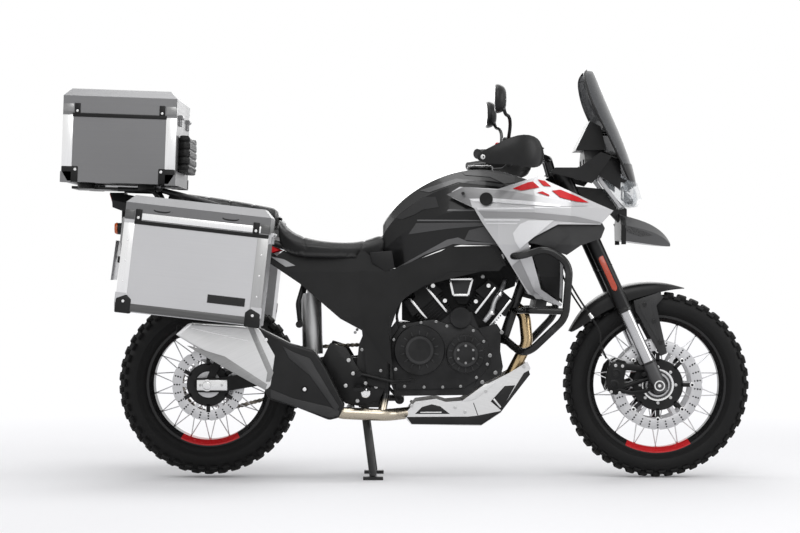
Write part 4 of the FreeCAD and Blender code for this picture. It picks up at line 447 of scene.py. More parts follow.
# The finishes by their makers, each with what its maker takes besides the name
MADE = (
    (moulded, {
        "black_plastic": (.006, .5), "dark_plastic": (.005, .34), "grey_plastic": (.03, .42),
        "nose_plastic": (.007, .34, 1200, .0002), "grip_rubber": (.01, .7, 900, .0005),
        "shield_black": (.008, .36, 700, .0003), "dark_hole": (.004, .8, 400),
        "case_corner": (.008, .42, 900), "skid_dark": (.01, .4, 700, .0003),
        "screen_edge": (.01, .2, 900, .0001)}),
    (powder_coat, {
        "gloss_black": (.008, .2), "frame_black": (.01, .42), "carrier_black": (.011, .46),
        "stand_black": (.012, .4), "spring_dark": (.014, .3)}),
    (brushed, {
        "bright_steel": (.74, .24, (300, 300, 300)), "dull_steel": (.5, .38, (200, 200, 200)),
        "silencer_skin": (.66, .34, (5, 300, 260), math.radians(-24)),
        "adjuster": (.72, .26, (4, 200, 400)), "case_profile": (.8, .3, (400, 400, 4), SIDE_TILT),
        "machined": (.78, .24, (500, 500, 12)),
        "skid_silver": (.64, .36, (6, 300, 300), math.radians(12)),
        # the first entry below: a darker copy of case_profile, painted shade on the front profiles
        "profile_grey": (.42, .36, (400, 400, 4), SIDE_TILT),
        "pannier_dark": (.11, .42, (4, 300, 300), SIDE_TILT), "latch_grey": (.26, .36, (60, 60, 60)),
        # the first entry below: a darker copy of silencer_skin, painted shade
        "silencer_painted_shade": (.3, .4, (5, 300, 260), math.radians(-24)),
        # the first entry below: the fork tubes' painted highlight, as a silver finish
        "fork_painted_highlight": (.36, .34, (300, 300, 300)), "glass": (.82, .06, (30, 30, 30), 0.0, .02),
        "chrome": (.8, .12, (40, 40, 40), 0.0, .04)}),
    (cast, {
        "engine_black": (.013, .42, .4, 700), "cover_black": (.03, .34, .5, 500),
        "cylinder_black": (.006, .5, .4, 900), "arm_black": (.007, .4, .4, 600),
        "caliper_black": (.009, .36, .5, 700)}),
    (tyre_rubber, {
        "front_rubber": (FRONT_AXLE, .329), "rear_rubber": (REAR_AXLE, .321)}),
    (wheel_finish, {
        "front_wheel": (FRONT_AXLE, .241, .053), "rear_wheel": (REAR_AXLE, .216, .053)}),
    (turned_steel, {
        "front_disc": (FRONT_AXLE, .46), "rear_disc": (REAR_AXLE, .46), "sprocket": (REAR_AXLE, .4)}),
    (fork_finish, {
        "fork": ()}),
    (seat_vinyl, {
        "vinyl": (), "pad_vinyl": (.008,)}),
    (case_panel, {
        "pannier_panel": (SIDE_TILT, .52), "pannier_lid": (SIDE_TILT, .17, (300, 2, 2)),
        "top_panel": (TOP_TILT, .19)}),
    (stainless, {
        "pipe": (.1,)}),
    (oiled_chain, {
        "chain": ()}),
    (clear, {
        "smoke": ((.03, .033, .038, 1), .05, .84), "lens": ((.75, .8, .84, 1), .03, .22)}),
    (glow, {
        "red_lens": ((.5, .01, .012, 1),), "amber_lens": ((.75, .13, .01, 1),),
        "reflector": ((.55, .045, .004, 1),)}),
    (plain_lacquer, {
        "red_paint": (RED, 0.0, .3, .12), "silver": (shade(.5), .45, .34),
        "graphite": (shade(.012), .2, .22, .15), "pale_silver": (shade(.72), .3, .3),
        "mid_silver": (shade(.26), .45, .34), "tank_grey_a": (shade(.13), .2, .4, .1),
        "tank_grey_b": (shade(.065), .3, .28, .15), "tank_grey_c": (shade(.03), .3, .28, .15),
        "beak_silver": (shade(.085), .4, .34, .2), "silver_trim": (shade(.42), .6, .3)}),
    (fine_mesh, {
        "mesh": (.006,)}),
    (radiator_core, {
        "core": ()}),
    # the next maker paints a reflection along the fairing's flank: dark at the rear, paling forward
    (reflection_fade, {
        "flank": (.1, .42, .54, .76)}),
)
FINISHES = {name: maker(name, *values) for maker, made in MADE for name, values in made.items()}

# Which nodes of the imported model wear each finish
WORN = {
    "frame_black": "frame", "engine_black": "engine_crankcase", "cylinder_black": "engine_cylinders",
    "core": "radiator", "pipe": "exhaust_headers", "silencer_skin": "muffler",
    "shield_black": "muffler_shield", "skid_silver": "skid_plate", "graphite": "fuel_tank",
    "silver": "side_fairings", "grey_plastic": "upper_grilles", "dark_plastic": "radiator_shrouds mirrors",
    "black_plastic": "side_covers tail_unit hand_guards front_fender", "beak_silver": "beak",
    "nose_plastic": "nose_fairing", "lens": "headlamp", "smoke": "windscreen",
    "vinyl": "rider_seat pillion_seat", "arm_black": "swingarm foot_controls",
    "dull_steel": "rear_shock front_sprocket", "chain": "drive_chain",
    "gloss_black": "crash_bars handlebar", "carrier_black": "luggage_carrier",
    "top_panel": "top_case top_case_lid", "pad_vinyl": "backrest_pad",
    "pannier_panel": "pannier_right pannier_left", "fork": "fork",
    "caliper_black": "front_calipers rear_caliper", "front_rubber": "front_tyre",
    "front_wheel": "front_rim", "front_disc": "front_discs", "rear_rubber": "rear_tyre",
    "rear_wheel": "rear_rim", "rear_disc": "rear_disc", "sprocket": "rear_sprocket",
    "stand_black": "centre_stand side_stand", "pannier_lid": "pannier_right_lid pannier_left_lid",
}
WEARS = {node: finish for finish, nodes in WORN.items() for node in nodes.split()}
for label, node in frame["nodes"].items():
    for place in node.material_slots:
        place.material = FINISHES[WEARS[label]].material


# Modelling by hand

def settle():
    """Leaves edit mode with nothing selected."""
    if bpy.context.mode != "OBJECT":
        bpy.ops.object.mode_set(mode="OBJECT")
    bpy.ops.object.select_all(action="DESELECT")


def edit(piece):
    """Opens a piece with all of it selected."""
    settle()
    piece.select_set(True)
    bpy.context.view_layer.objects.active = piece
    bpy.ops.object.mode_set(mode="EDIT")
    bpy.ops.mesh.select_all(action="SELECT")


def pull(step):
    """Pulls what is selected out by a step."""
    bpy.ops.mesh.extrude_region_move(TRANSFORM_OT_translate={"value": tuple(step)})


def drawn(points, fill=True):
    """An outline drawn corner by corner, each pulled out of the last."""
    settle()
    bpy.ops.mesh.primitive_plane_add(size=.01, location=(0, 0, 0))
    piece = bpy.context.object
    bpy.ops.object.mode_set(mode="EDIT")
    bpy.ops.mesh.merge(type="CENTER")
    bpy.ops.transform.translate(value=tuple(points[0]))
    for before, after in zip(points, points[1:]):
        pull(after - before)
    bpy.ops.mesh.select_all(action="SELECT")
    if fill:
        bpy.ops.mesh.edge_face_add()
    return piece


def place_apply(piece):
    """Puts a piece's place, turn and size into its mesh."""
    settle()
    piece.select_set(True)
    bpy.context.view_layer.objects.active = piece
    bpy.ops.object.transform_apply(location=True, rotation=True, scale=True)
    return piece


def face_out(piece):
    """Merges doubled corners and turns every face outwards."""
    edit(piece)
    bpy.ops.mesh.remove_doubles(threshold=.00002)
    bpy.ops.mesh.normals_make_consistent(inside=False)
    settle()
    return piece


def apply_modifiers(piece):
    settle()
    piece.select_set(True)
    bpy.context.view_layer.objects.active = piece
    for modifier in list(piece.modifiers):
        bpy.ops.object.modifier_apply(modifier=modifier.name)
    return piece


def soften(piece, width=.0015, segments=2, angle=32):
    """Rounds the edges that a hand would feel, and smooths what lies between them."""
    if width:
        modifier = piece.modifiers.new("rounded", "BEVEL")
        modifier.width, modifier.segments = width, segments
        modifier.limit_method, modifier.angle_limit = "ANGLE", math.radians(angle)
        modifier.harden_normals = False
    apply_modifiers(piece)
    piece.select_set(True)
    bpy.ops.object.shade_smooth_by_angle(angle=math.radians(angle))
    settle()
    return piece


def plate(points, depth, bevel=.0015, segments=2):
    """A flat outline given a thickness."""
    piece = drawn(points)
    pull(depth)
    face_out(piece)
    return soften(piece, bevel, segments)


def sheet_on(outline, y, depth, bevel=.0012, segments=2):
    """An outline on the side of the machine, as a plate set in from a plane."""
    return plate([side(u, z, y) for u, z in outline], (0, depth, 0), bevel, segments)


def skinned(rings, closed=True, levels=2, wall=0.0):
    """A surface pulled from one ring of corners to the next, then subdivided smooth."""
    piece = drawn(rings[0], fill=closed)
    for before, after in zip(rings, rings[1:]):
        step = after[0] - before[0]
        pull(step)
        mesh = bmesh.from_edit_mesh(piece.data)
        for corner in [v for v in mesh.verts if v.select]:
            nearest = min(range(len(before)), key=lambda i: (corner.co - before[i] - step).length_squared)
            corner.co = after[nearest]
        bmesh.update_edit_mesh(piece.data)
    face_out(piece)
    if levels:
        modifier = piece.modifiers.new("smooth", "SUBSURF")
        modifier.levels = modifier.render_levels = levels
    if wall:
        modifier = piece.modifiers.new("wall", "SOLIDIFY")
        modifier.thickness, modifier.offset = wall, -1
    return soften(piece, 0, angle=50)


def spun(points, centre, axis, steps, smooth):
    """An outline turned about an axis."""
    piece = drawn(points, fill=False)
    bpy.ops.mesh.spin(steps=steps, angle=2 * math.pi, center=tuple(centre), axis=tuple(axis))
    face_out(piece)
    return soften(piece, 0, angle=smooth)


def turned_round(profile, centre, steps=48, axis=Y, smooth=30):
    """A lathe-turned form about an axis across the machine, from places along it and radii."""
    out = X if abs(axis.x) < .5 else Z
    return spun([centre + axis * a + out * r for a, r in profile], centre, axis, steps, smooth)


def box(low, high, bevel=.002):
    settle()
    low, high = Vector(low), Vector(high)
    bpy.ops.mesh.primitive_cube_add(size=1, location=(low + high) / 2, scale=high - low)
    return soften(place_apply(bpy.context.object), bevel)


def cylinder(start, end, radius, sides=24, bevel=.0012):
    """A round bar from one place to another."""
    settle()
    run = end - start
    bpy.ops.mesh.primitive_cone_add(vertices=sides, radius1=radius, radius2=radius,
                                    depth=run.length, location=(start + end) / 2,
                                    rotation=run.to_track_quat("Z", "Y").to_euler())
    return soften(place_apply(bpy.context.object), bevel)


def hose(points, radius, sides=3):
    """A round hose or rod whose line bends smoothly through its places."""
    settle()
    bpy.ops.curve.primitive_nurbs_path_add(location=(0, 0, 0))
    piece = bpy.context.object
    spline = piece.data.splines[0]
    spline.points.add(max(0, len(points) - len(spline.points)))
    while len(spline.points) > len(points):
        points = list(points[:1]) + [(points[0] + points[1]) / 2] + list(points[1:])
    for corner, place in zip(spline.points, points):
        corner.co = (*place, 1)
    spline.order_u, spline.use_endpoint_u = 3, True
    piece.data.bevel_depth, piece.data.bevel_resolution = radius, sides
    piece.data.use_fill_caps = True
    piece.data.resolution_u = 6
    bpy.ops.object.convert(target="MESH")
    return face_out(soften(bpy.context.object, 0, angle=60))


def joined(pieces):
    """Pieces made one, under the first one's name."""
    settle()
    for piece in pieces:
        piece.select_set(True)
    bpy.context.view_layer.objects.active = pieces[0]
    if len(pieces) > 1:
        bpy.ops.object.join()
    settle()
    return pieces[0]


def copied(piece, matrix):
    """A copy of a piece with its own mesh, moved."""
    settle()
    piece.select_set(True)
    bpy.context.view_layer.objects.active = piece
    bpy.ops.object.duplicate()
    copy = bpy.context.object
    copy.matrix_world = matrix
    return place_apply(copy)


def moved(piece, matrix):
    """A piece put somewhere else, its place then back in its mesh."""
    piece.matrix_world = matrix
    return place_apply(piece)


def mirrored(piece):
    """The same piece on the other side of the machine."""
    copy = copied(piece, Matrix.Diagonal((1, -1, 1, 1)))
    edit(copy)
    bpy.ops.mesh.normals_make_consistent(inside=False)
    settle()
    return copy


def both_sides(piece):
    """A piece and its mirror image, made one."""
    return joined([piece, mirrored(piece)])


def round_axle(piece, count, centre):
    """Copies of a piece about an axis, joined with it."""
    edit(piece)
    bpy.ops.mesh.spin(steps=count - 1, dupli=True, angle=2 * math.pi * (count - 1) / count, center=centre,
                      axis=Y)
    settle()
    return face_out(piece)


def screw(radius=.005, height=.004):
    """A socket screw's head, standing on the origin."""
    settle()
    bpy.ops.mesh.primitive_cylinder_add(vertices=12, radius=radius, depth=height, location=(0, 0, height / 2))
    piece = place_apply(bpy.context.object)
    edit(piece)
    bpy.ops.mesh.select_mode(type="FACE")
    bpy.ops.mesh.select_all(action="DESELECT")
    mesh = bmesh.from_edit_mesh(piece.data)
    for face in mesh.faces:
        face.select = face.normal.z > .9
    bmesh.update_edit_mesh(piece.data)
    bpy.ops.mesh.inset(thickness=radius * .22)
    bpy.ops.transform.translate(value=(0, 0, height * .12))
    bpy.ops.mesh.inset(thickness=radius * .2)
    pull((0, 0, -height * .6))
    bpy.ops.mesh.select_mode(type="VERT")
    settle()
    return soften(piece, 0, angle=40)


def facing(place, direction):
    """What sets a piece modelled on the origin, z out, on a face that looks one way."""
    return Matrix.Translation(place) @ Vector(direction).to_track_quat("Z", "Y").to_matrix().to_4x4()


def screws(places, direction=-Y, radius=.005, height=.004):
    """A row of screw heads on a face that looks one way."""
    first = screw(radius, height)
    copies = [copied(first, facing(place, direction)) for place in places]
    bpy.data.objects.remove(first)
    return joined(copies)


def fitted(piece, name, finish, body="chassis", covers=()):
    """Names a finished piece, dresses it and sets it on its body."""
    piece.name = piece.data.name = name
    piece.data.materials.clear()
    piece.data.materials.append(FINISHES[finish].material)
    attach(piece, body)
    if covers:
        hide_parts(*covers)
    return piece


def paired(pieces, name, finish, body="chassis", covers=()):
    """Joins pieces, copies them to the other side of the machine and fits the pair as one."""
    return fitted(both_sides(joined(pieces)), name, finish, body, covers)


def bolted(name, finish, y, radius, height, places, body="chassis"):
    """Screw heads at places on the side of the machine, and on its other side."""
    heads = screws([side(u, z, y) for u, z in places], -Y, radius, height)
    return paired([heads], name, finish, body)


# Wheels and brakes

# A tyre's sidewall: places across, as shares of its half width, and heights over the rim
SIDEWALL = ((-.62, .003), (-.8, .008), (-.96, .024), (-1.0, .04), (-.96, .056))
# Its tread blocks: place across and width, as shares of the half width, length as a share of the
# pitch, drop from the crown, slope and slew in degrees, and shift round the tyre in pitches
TREAD_BLOCKS = (
    (.2, .32, .58, 0.0, 4, 9, 0.0), (-.2, .32, .58, 0.0, -4, 9, .08),
    (.58, .34, .54, .0035, 14, -7, .1), (-.58, .34, .54, .0035, -14, -7, .02),
    (.9, .28, .56, .016, 52, 0, .55), (-.9, .28, .56, .016, -52, 0, .6))
BLOCK_WALL, BLOCK_TOP = .012, .003


def lugged_tyre(name, node, body, centre, rim, half, crown, rows, finish):
    """A dual sport tyre: a round carcass, with blocks raised in rows round its tread and shoulders."""
    skin = crown - .0105
    side_line = [(y * half, rim + r) for y, r in SIDEWALL]
    side_line += [(-.8 * half, skin - .011), (-.45 * half, skin - .003)]
    profile = side_line + [(0, skin)] + [(-y, r) for y, r in reversed(side_line)]
    carcass = turned_round(profile, centre, 96, smooth=60)
    blocks = []
    pitch = 2 * math.pi * crown / rows
    for across, wide, long, drop, slope, slew, shift in TREAD_BLOCKS:
        w, l = wide * half / 2, long * pitch / 2
        block = drawn([Vector((-l, -w, 0)), Vector((l, -w, 0)), Vector((l, w, 0)), Vector((-l, w, 0))])
        height = 0
        for rise, narrow in ((BLOCK_WALL, (.94, .92, 1)), (BLOCK_TOP, (.84, .84, 1))):
            height += rise
            pull((0, 0, rise))
            bpy.ops.transform.resize(value=narrow, center_override=(0, 0, height))
        face_out(block)
        turn = Matrix.Rotation(shift * pitch / crown, 4, "Y")
        lean = Matrix.Rotation(math.radians(-slope), 4, "X") @ Matrix.Rotation(math.radians(slew), 4, "Z")
        up = Matrix.Translation((0, across * half, crown - drop)) @ lean @ Matrix.Translation((0, 0, -height))
        blocks.append(moved(block, Matrix.Translation(centre) @ turn @ up))
    tread = round_axle(joined(blocks), rows, centre)
    fitted(joined([carcass, tread]), name, finish, body, (node,))


def brake_disc(name, body, centre, y, outward, out, band, holes, finish, carrier_in, carrier_out, pins,
               proud):
    """A floating disc's dressing: pierced band, black carrier with arms, and bright drive pins."""
    face = centre + Y * y
    step = Y * outward
    ring = turned_round([(0, out - band), (0, out - .003), (.0006, out - .002), (.0012, out - .004),
                         (.0012, out - band + .002), (.0006, out - band)], face, 96, step)
    fitted(ring, name + "_band", finish, body)
    carrier = turned_round([(0, carrier_in), (0, carrier_out), (.003, carrier_out - .002),
                            (.003, carrier_in + .002), (.0015, carrier_in)], face, 48, step)
    thick = sorted((0.0, .003 * outward))
    arm = box((-.007, thick[0], carrier_out - .008), (.007, thick[1], out - band + .006), .001)
    arm = moved(arm, Matrix.Translation(face))
    arms = round_axle(arm, pins, face)
    fitted(joined([carrier, arms]), name + "_carrier", "engine_black", body)
    for word, reach, radius, lift, metal in (
            ("_pins", out - band + .001, .0085, 0.0, "bright_steel"),
            ("_bolts", carrier_in + .011, .0055, min(.003, proud), "dull_steel")):
        head = moved(screw(radius, proud), facing(face + Z * reach + step * lift, step))
        fitted(round_axle(head, pins, face), name + word, metal, body)
    hole = []
    for reach, count, radius in holes:
        stud = turned_round([(0, 0.0), (0, radius), (.0004, radius), (.0004, 0.0)],
                            face + step * .0014 + Z * reach, 10, step)
        hole.append(round_axle(stud, count, face))
    fitted(joined(hole), name + "_holes", "dark_hole", body)


lugged_tyre("front_tyre_lugged", "front_tyre", "front_wheel", FRONT_AXLE, .241, .056, .3284, 44,
            "front_rubber")
lugged_tyre("rear_tyre_lugged", "rear_tyre", "rear_wheel", REAR_AXLE, .216, .075, .3204, 42, "rear_rubber")
for hand, word in HANDS:
    brake_disc("front_disc_" + word, "front_wheel", FRONT_AXLE, hand * .0687, hand, .156, .036,
               ((.15, 30, .0028), (.141, 30, .0034), (.131, 30, .0028)), "front_disc", .052, .09, 8,
               .005)
brake_disc("rear_disc_right", "rear_wheel", REAR_AXLE, -.0867, -1, .125, .034,
           ((.119, 24, .0028), (.11, 24, .0034), (.101, 24, .0028)), "rear_disc", .046, .076, 6,
           .0011)
ring = turned_round([(.06, .04), (.074, .044), (.078, .05), (.078, .056), (.071, .059), (.06, .059)],
                    FRONT_AXLE, 64, -Y, smooth=40)
paired([ring], "front_hub_ring", "machined", "front_wheel")
cap = turned_round([(.066, .002), (.066, .036), (.08, .036), (.084, .03), (.084, .002)], FRONT_AXLE, 48, -Y,
                   smooth=40)
paired([cap], "front_hub_cap", "engine_black", "front_wheel")


# Luggage cases

def case_place(origin, tilt):
    """Where a case's own along, across and up lie on the machine."""
    return Matrix.Translation(origin) @ Matrix.Rotation(tilt, 4, "Y")


def bar_of(outline, low, high, bevel=.002):
    """An outline seen from the side of a case, as thick as two places across it."""
    return plate([Vector((x, low, z)) for x, z in outline], (0, high - low, 0), bevel)


def strip(x0, x1, z0, z1, low, high, bevel=.002):
    return bar_of([(x0, z0), (x1, z0), (x1, z1), (x0, z1)], low, high, bevel)


def put(pieces, place, name, finish, slot, body="chassis", pair=None):
    """Joins pieces modelled in a case's own frame and sets them on it, on both sides if asked."""
    piece = moved(joined(pieces), place)
    if pair:
        fitted(mirrored(piece), name.replace("right", "left"), finish, pair)
    fitted(piece, name, finish, body)


side_place = case_place(side(-.1772, .3785, -.258), SIDE_TILT)
LONG, DEEP, TALL = .486, .232, .31
LIP = -DEEP - .0022
ON_CASES, ON_LIDS = ("chassis", "chassis"), ("pannier_right_lid", "pannier_left_lid")


def side_fit(name, pieces, finish, slot, bodies=ON_CASES):
    put(pieces, side_place, "pannier_right_" + name, finish, slot, *bodies)


def side_case():
    # profiles down the corners (the front one darker, as painted shade), seal, feet, low band, blank label
    # and rivets
    skin, brim = -DEEP + .002, TALL - .012
    side_fit("rear_profile", [strip(0.0, .036, .046, brim, LIP, skin, .0016)], "case_profile", "case_alu")
    # the front profile is darker than the rear one: painted shade
    side_fit("front_profile", [strip(LONG - .038, LONG, .046, brim, LIP, skin, .0016)], "profile_grey",
             "case_alu")
    side_fit("seal", [strip(.034, LONG - .002, TALL - .014, TALL - .001, LIP - .0012, skin, .001)],
             "black_plastic", "black_plastic")
    feet = [bar_of([(x0, -.004), (x1, -.004), (x1, .044), (tip, .06), (x0, .044)], LIP - .002, -DEEP + .03,
                   .004) for x0, x1, tip in ((0.0, .052, .034), (LONG - .052, LONG, LONG - .034))]
    side_fit("corners", feet, "case_corner", "black_plastic")
    side_fit("low_band", [strip(.05, LONG - .05, .004, .03, LIP + .0004, -DEEP + .004, .0012)],
             "pannier_dark", "case_alu")
    side_fit("label", [strip(LONG - .182, LONG - .056, .062, .09, LIP + .0002, -DEEP + .001, .0006)],
             "gloss_black", "black_plastic")
    rivets = [case_screw(Vector((x, LIP - .002, .036))) for x in (.026, LONG - .026)]
    rivets += [case_screw(Vector((x, LIP, z)), .003) for x in (.018, LONG - .019)
               for z in (.1, .17, .24)]
    side_fit("rivets", rivets, "bright_steel", "steel")
    # lid: bright band, straps, corner caps and rings on the sloped edge
    z = TALL + .002
    side_fit("lid_band", [strip(.04, LONG - .03, z, z + .022, LIP, -DEEP + .004, .0012)], "case_profile",
             "case_alu", ON_LIDS)
    straps = []
    for x in (.046, LONG - .046):
        straps += [strip(x - .011, x + .011, z - .004, z + .034, LIP - .003, skin),
                   lid_strap(x - .01, x + .01, z + .03)]
    side_fit("straps", straps, "case_corner", "black_plastic", ON_LIDS)
    caps = [strip(x0, x1, z, z + .03, LIP - .0005, -DEEP + .03, .004)
            for x0, x1 in ((0.0, .032), (LONG - .032, LONG))]
    side_fit("lid_caps", caps, "pannier_dark", "case_alu", ON_LIDS)
    buttons = [case_screw(Vector((x, LIP - .003, z + .006)), .0045) for x in (.046, LONG - .046)]
    side_fit("strap_rivets", buttons, "bright_steel", "steel", ON_LIDS)
    side_fit("rings", d_ring(.125, z + .044) + d_ring(.355, z + .044), "case_corner", "black_plastic",
             ON_LIDS)
    # toggle latch and handle at the rear end
    side_fit("latch", [strip(-.02, -.006, TALL - .085, TALL + .006, -.13, -.096, .003),
                       strip(-.012, .001, TALL - .105, TALL + .012, -.126, -.1)], "latch_grey", "steel")
    side_fit("grip", [strip(-.016, .001, TALL - .15, TALL - .128, -.17, -.06, .003)], "black_plastic",
             "black_plastic")


def case_screw(place, radius=.0048):
    return moved(screw(radius, .0026), Matrix.Translation(place) @ Matrix.Rotation(math.radians(90), 4, "X"))


def lid_strap(x0, x1, low):
    """A strap that lies on the sloped edge of a lid."""
    outline = [Vector((x0, -DEEP - .003, low)), Vector((x0, -DEEP + .03, low + .046)),
               Vector((x0, -DEEP + .034, low + .043)), Vector((x0, -DEEP + .003, low - .003))]
    return plate(outline, (x1 - x0, 0, 0), .001)


def d_ring(x, z):
    """A tie-down ring flat on the sloped edge, in its two lugs."""
    def on_edge(along, inward, up):
        return Vector((x + along, -DEEP + inward, z + up))

    made = [cylinder(on_edge(end, .006, -.012), on_edge(end, .014, .01), .007, 12) for end in (-.032, .032)]
    made.append(hose([on_edge(-.032, .006, .004), on_edge(-.028, .001, -.012), on_edge(.028, .001, -.012),
                      on_edge(.032, .006, .004)], .003))
    return made


side_case()

T_LONG, T_HALF, T_TALL = .392, .235, .238
# The case leans about a place 0.62 of the way up, 18 mm inside its rear end
TOP_REAR = REAR_AXLE.x - .509 + .018 * math.cos(TOP_TILT) - .62 * T_TALL * math.sin(TOP_TILT)
top_place = case_place(Vector((TOP_REAR, 0, .6585 * WHEELBASE)), TOP_TILT)


def walls(out, inward):
    """Places across the top case, from so far outside a wall to so far inside it, for both its sides."""
    return (-T_HALF - out, -T_HALF + inward), (T_HALF - inward, T_HALF + out)


def top_fit(name, pieces, finish, slot, body="chassis"):
    put(pieces, top_place, "top_case_" + name, finish, slot, body)


def top_case():
    skin = -T_HALF
    for name, x0, x1 in (("rear", 0.0, .036), ("front", T_LONG - .036, T_LONG)):
        sides = [strip(x0, x1, .05, T_TALL - .008, *wall, .0016) for wall in walls(.002, .003)]
        top_fit(name + "_profile", sides, "case_profile", "case_alu")
    seal = [strip(.034, T_LONG - .034, T_TALL - .014, T_TALL - .001, *wall, .001)
            for wall in walls(.0028, .003)]
    top_fit("seal", seal, "black_plastic", "black_plastic")
    feet, rivets = [], []
    for x0, x1, screw_x in ((0.0, .058, .048), (T_LONG - .058, T_LONG, T_LONG - .058 + .01)):
        foot0, foot1 = (x0 + .02, x1) if x0 == 0 else (x0, x1 - .02)
        feet += [bar_of([(foot0, -.002), (foot1, -.002), (x1, .03), (x1, .054), (x0, .054), (x0, .03)], *wall,
                        .004) for wall in walls(.003, .032)]
        rivets.append(case_screw(Vector((screw_x, skin - .003, .042))))
    top_fit("corners", feet, "case_corner", "black_plastic")
    # lid straps and caps
    z = T_TALL + .002
    straps = []
    for x in (.05, T_LONG - .05):
        straps += [strip(x - .01, x + .01, z - .004, z + .03, *wall) for wall in walls(.004, .002)]
        rivets.append(case_screw(Vector((x, skin - .004, z + .004)), .0042))
        edge = [Vector((x - .01, skin + inward, z + up)) for inward, up in
                ((-.003, .026), (.028, .077), (.033, .074), (.003, .022))]
        first = plate(edge, (.02, 0, 0), .001)
        straps += [first, mirrored(first)]
    top_fit("straps", straps, "case_corner", "black_plastic", "top_case_lid")
    top_fit("rivets", rivets, "bright_steel", "steel")
    caps = [strip(x0, x1, z, z + .03, *wall, .005)
            for x0, x1 in ((0.0, .038), (T_LONG - .038, T_LONG)) for wall in walls(.0015, .03)]
    top_fit("lid_caps", caps, "latch_grey", "case_alu", "top_case_lid")
    # latches at the rear end and feet on the rack
    latches = [strip(-.014, -.004, T_TALL - .06, T_TALL + .014, y - .016, y + .016, .003)
               for y in (-.13, .13)]
    top_fit("latches", latches, "case_corner", "black_plastic")
    knobs = [cylinder(Vector((x, y, -.02)), Vector((x, y, .002)), .03, 24, .003) for x in (.075, .285)
             for y in (-.14, .14)]
    top_fit("feet", knobs, "black_plastic", "rubber")


top_case()


# Front end: mudguard, fork, screen, lamp, guards and mirrors

def towards_axle(place, depth):
    """A place moved in from the mudguard's crown towards the front axle."""
    spoke = Vector((FRONT_AXLE.x - place.x, 0, FRONT_AXLE.z - place.z)).normalized()
    return place + spoke * depth


# Rows along the mudguard's crown: forward, up, half width and depth of its flanks
MUDGUARD = ((.804, .328, .04, .012), (.82, .359, .058, .04), (.842, .3885, .068, .056),
            (.8814, .416, .074, .062), (.9252, .4334, .076, .06), (.9751, .44, .074, .05),
            (1.015, .437, .066, .032), (1.042, .431, .048, .016), (1.0642, .424, .012, .003))


def mudguard():
    """The front mudguard's rounded shell, with its stays down to the fork's feet."""
    rings = []
    for forward, up, half, drop in MUDGUARD:
        crown = side(forward, up)
        rings.append([towards_axle(crown, drop * d) + Y * half * y
                      for y, d in ((-1, 1), (-1, .4), (-.8, .08), (0, 0), (.8, .08), (1, .4), (1, 1))])
    shell = skinned(rings, closed=False, levels=2, wall=.003)
    fitted(shell, "front_mudguard", "shield_black", "steering", ("front_fender",))
    stay = sheet_on(((.9451, .3959), (1.0028, .4147), (1.0122, .4037), (.996, .385), (1.02, .2789),
                     (1.005, .2726), (.964, .35), (.95, .372)), -.0775, -.005, .0015)
    rim = sheet_on(((.956, .39), (.99, .399), (.985, .38), (1.003, .3), (.972, .354), (.96, .374)), -.0822,
                   -.0025, .0012)
    paired([stay, rim], "front_mudguard_stays", "grey_plastic", "steering")
    bolted("front_mudguard_bolts", "gloss_black", -.0845, .0075, .004,
           ((.9909, .3507), (1.0054, .3032), (.97, .388)), "steering")


mudguard()


# Rings on the fork's tubes: reach from the axle, low and high, and radius
FORK_SEALS = ((.284, .296, .0275), (.296, .3, .0262), (.452, .457, .0272), (.084, .092, .0262))


def beside_axle(outline, y, depth, bevel=.003):
    """An outline about the front axle, as a plate set in from a plane."""
    return plate([FRONT_AXLE + Vector((x, y, z)) for x, z in outline], (0, depth, 0), bevel)


def fork_dressing():
    """Seals, reflectors in their holders, silver sheets on the upper tubes that stand for their highlight
    (painted highlight), foot clamps and the axle's nut.
    """
    seals = [cylinder(by_fork(low, 0, -FORK_HALF), by_fork(high, 0, -FORK_HALF), radius, 40)
             for low, high, radius in FORK_SEALS]
    paired(seals, "fork_seals", "gloss_black", "steering")
    lens = plate([by_fork(.365 + r, a, -.1295) for r, a in ((0, -.004), (.01, -.012), (.126, -.012),
                                                            (.132, -.006), (.132, .008), (.012, .008),
                                                            (.002, .003))], (0, -.007, 0), .0022)
    paired([lens], "fork_reflectors", "reflector", "steering")
    frame_ring = plate([by_fork(.358 + r, a, -.1285) for r, a in ((0, -.005), (.012, -.016), (.14, -.016),
                                                                  (.145, .011), (.012, .012))], (0, -.004, 0),
                       .0015)
    paired([frame_ring], "fork_reflector_holders", "black_plastic", "steering")
    # silver sheets on the fronts of the black upper tubes, standing for their highlight: painted highlight
    guard = skinned([[by_fork(r, .018, -FORK_HALF + y) + AHEAD_OF_FORK * a
                      for y, a in ((-.024, -.014), (-.018, .003), (0, .01), (.018, .003), (.024, -.014))]
                     for r in (.3, .37, .44, .452)], closed=False, levels=1, wall=.002)
    paired([guard], "fork_tube_painted_highlights", "fork_painted_highlight", "steering")
    clamps = []
    for reach in (.012, .058):
        clamps.append(cylinder(by_fork(reach, -.031, -FORK_HALF - .014),
                               by_fork(reach, -.031, -FORK_HALF + .01), .008, 16))
    clamps += [screws([by_fork(.012, -.031, -FORK_HALF - .014), by_fork(.058, -.031, -FORK_HALF - .014)], -Y,
                      .0055, .004)]
    paired(clamps, "fork_foot_clamps", "caliper_black", "steering")
    nut = cylinder(by_fork(0, 0, -.124), by_fork(0, 0, -.133), .012, 6, .001)
    ring = turned_round([(.128, .014), (.128, .019), (.132, .0185), (.132, .0145)], FRONT_AXLE, 32, -Y)
    fitted(joined([nut, ring]), "front_axle_nut", "bright_steel", "steering")


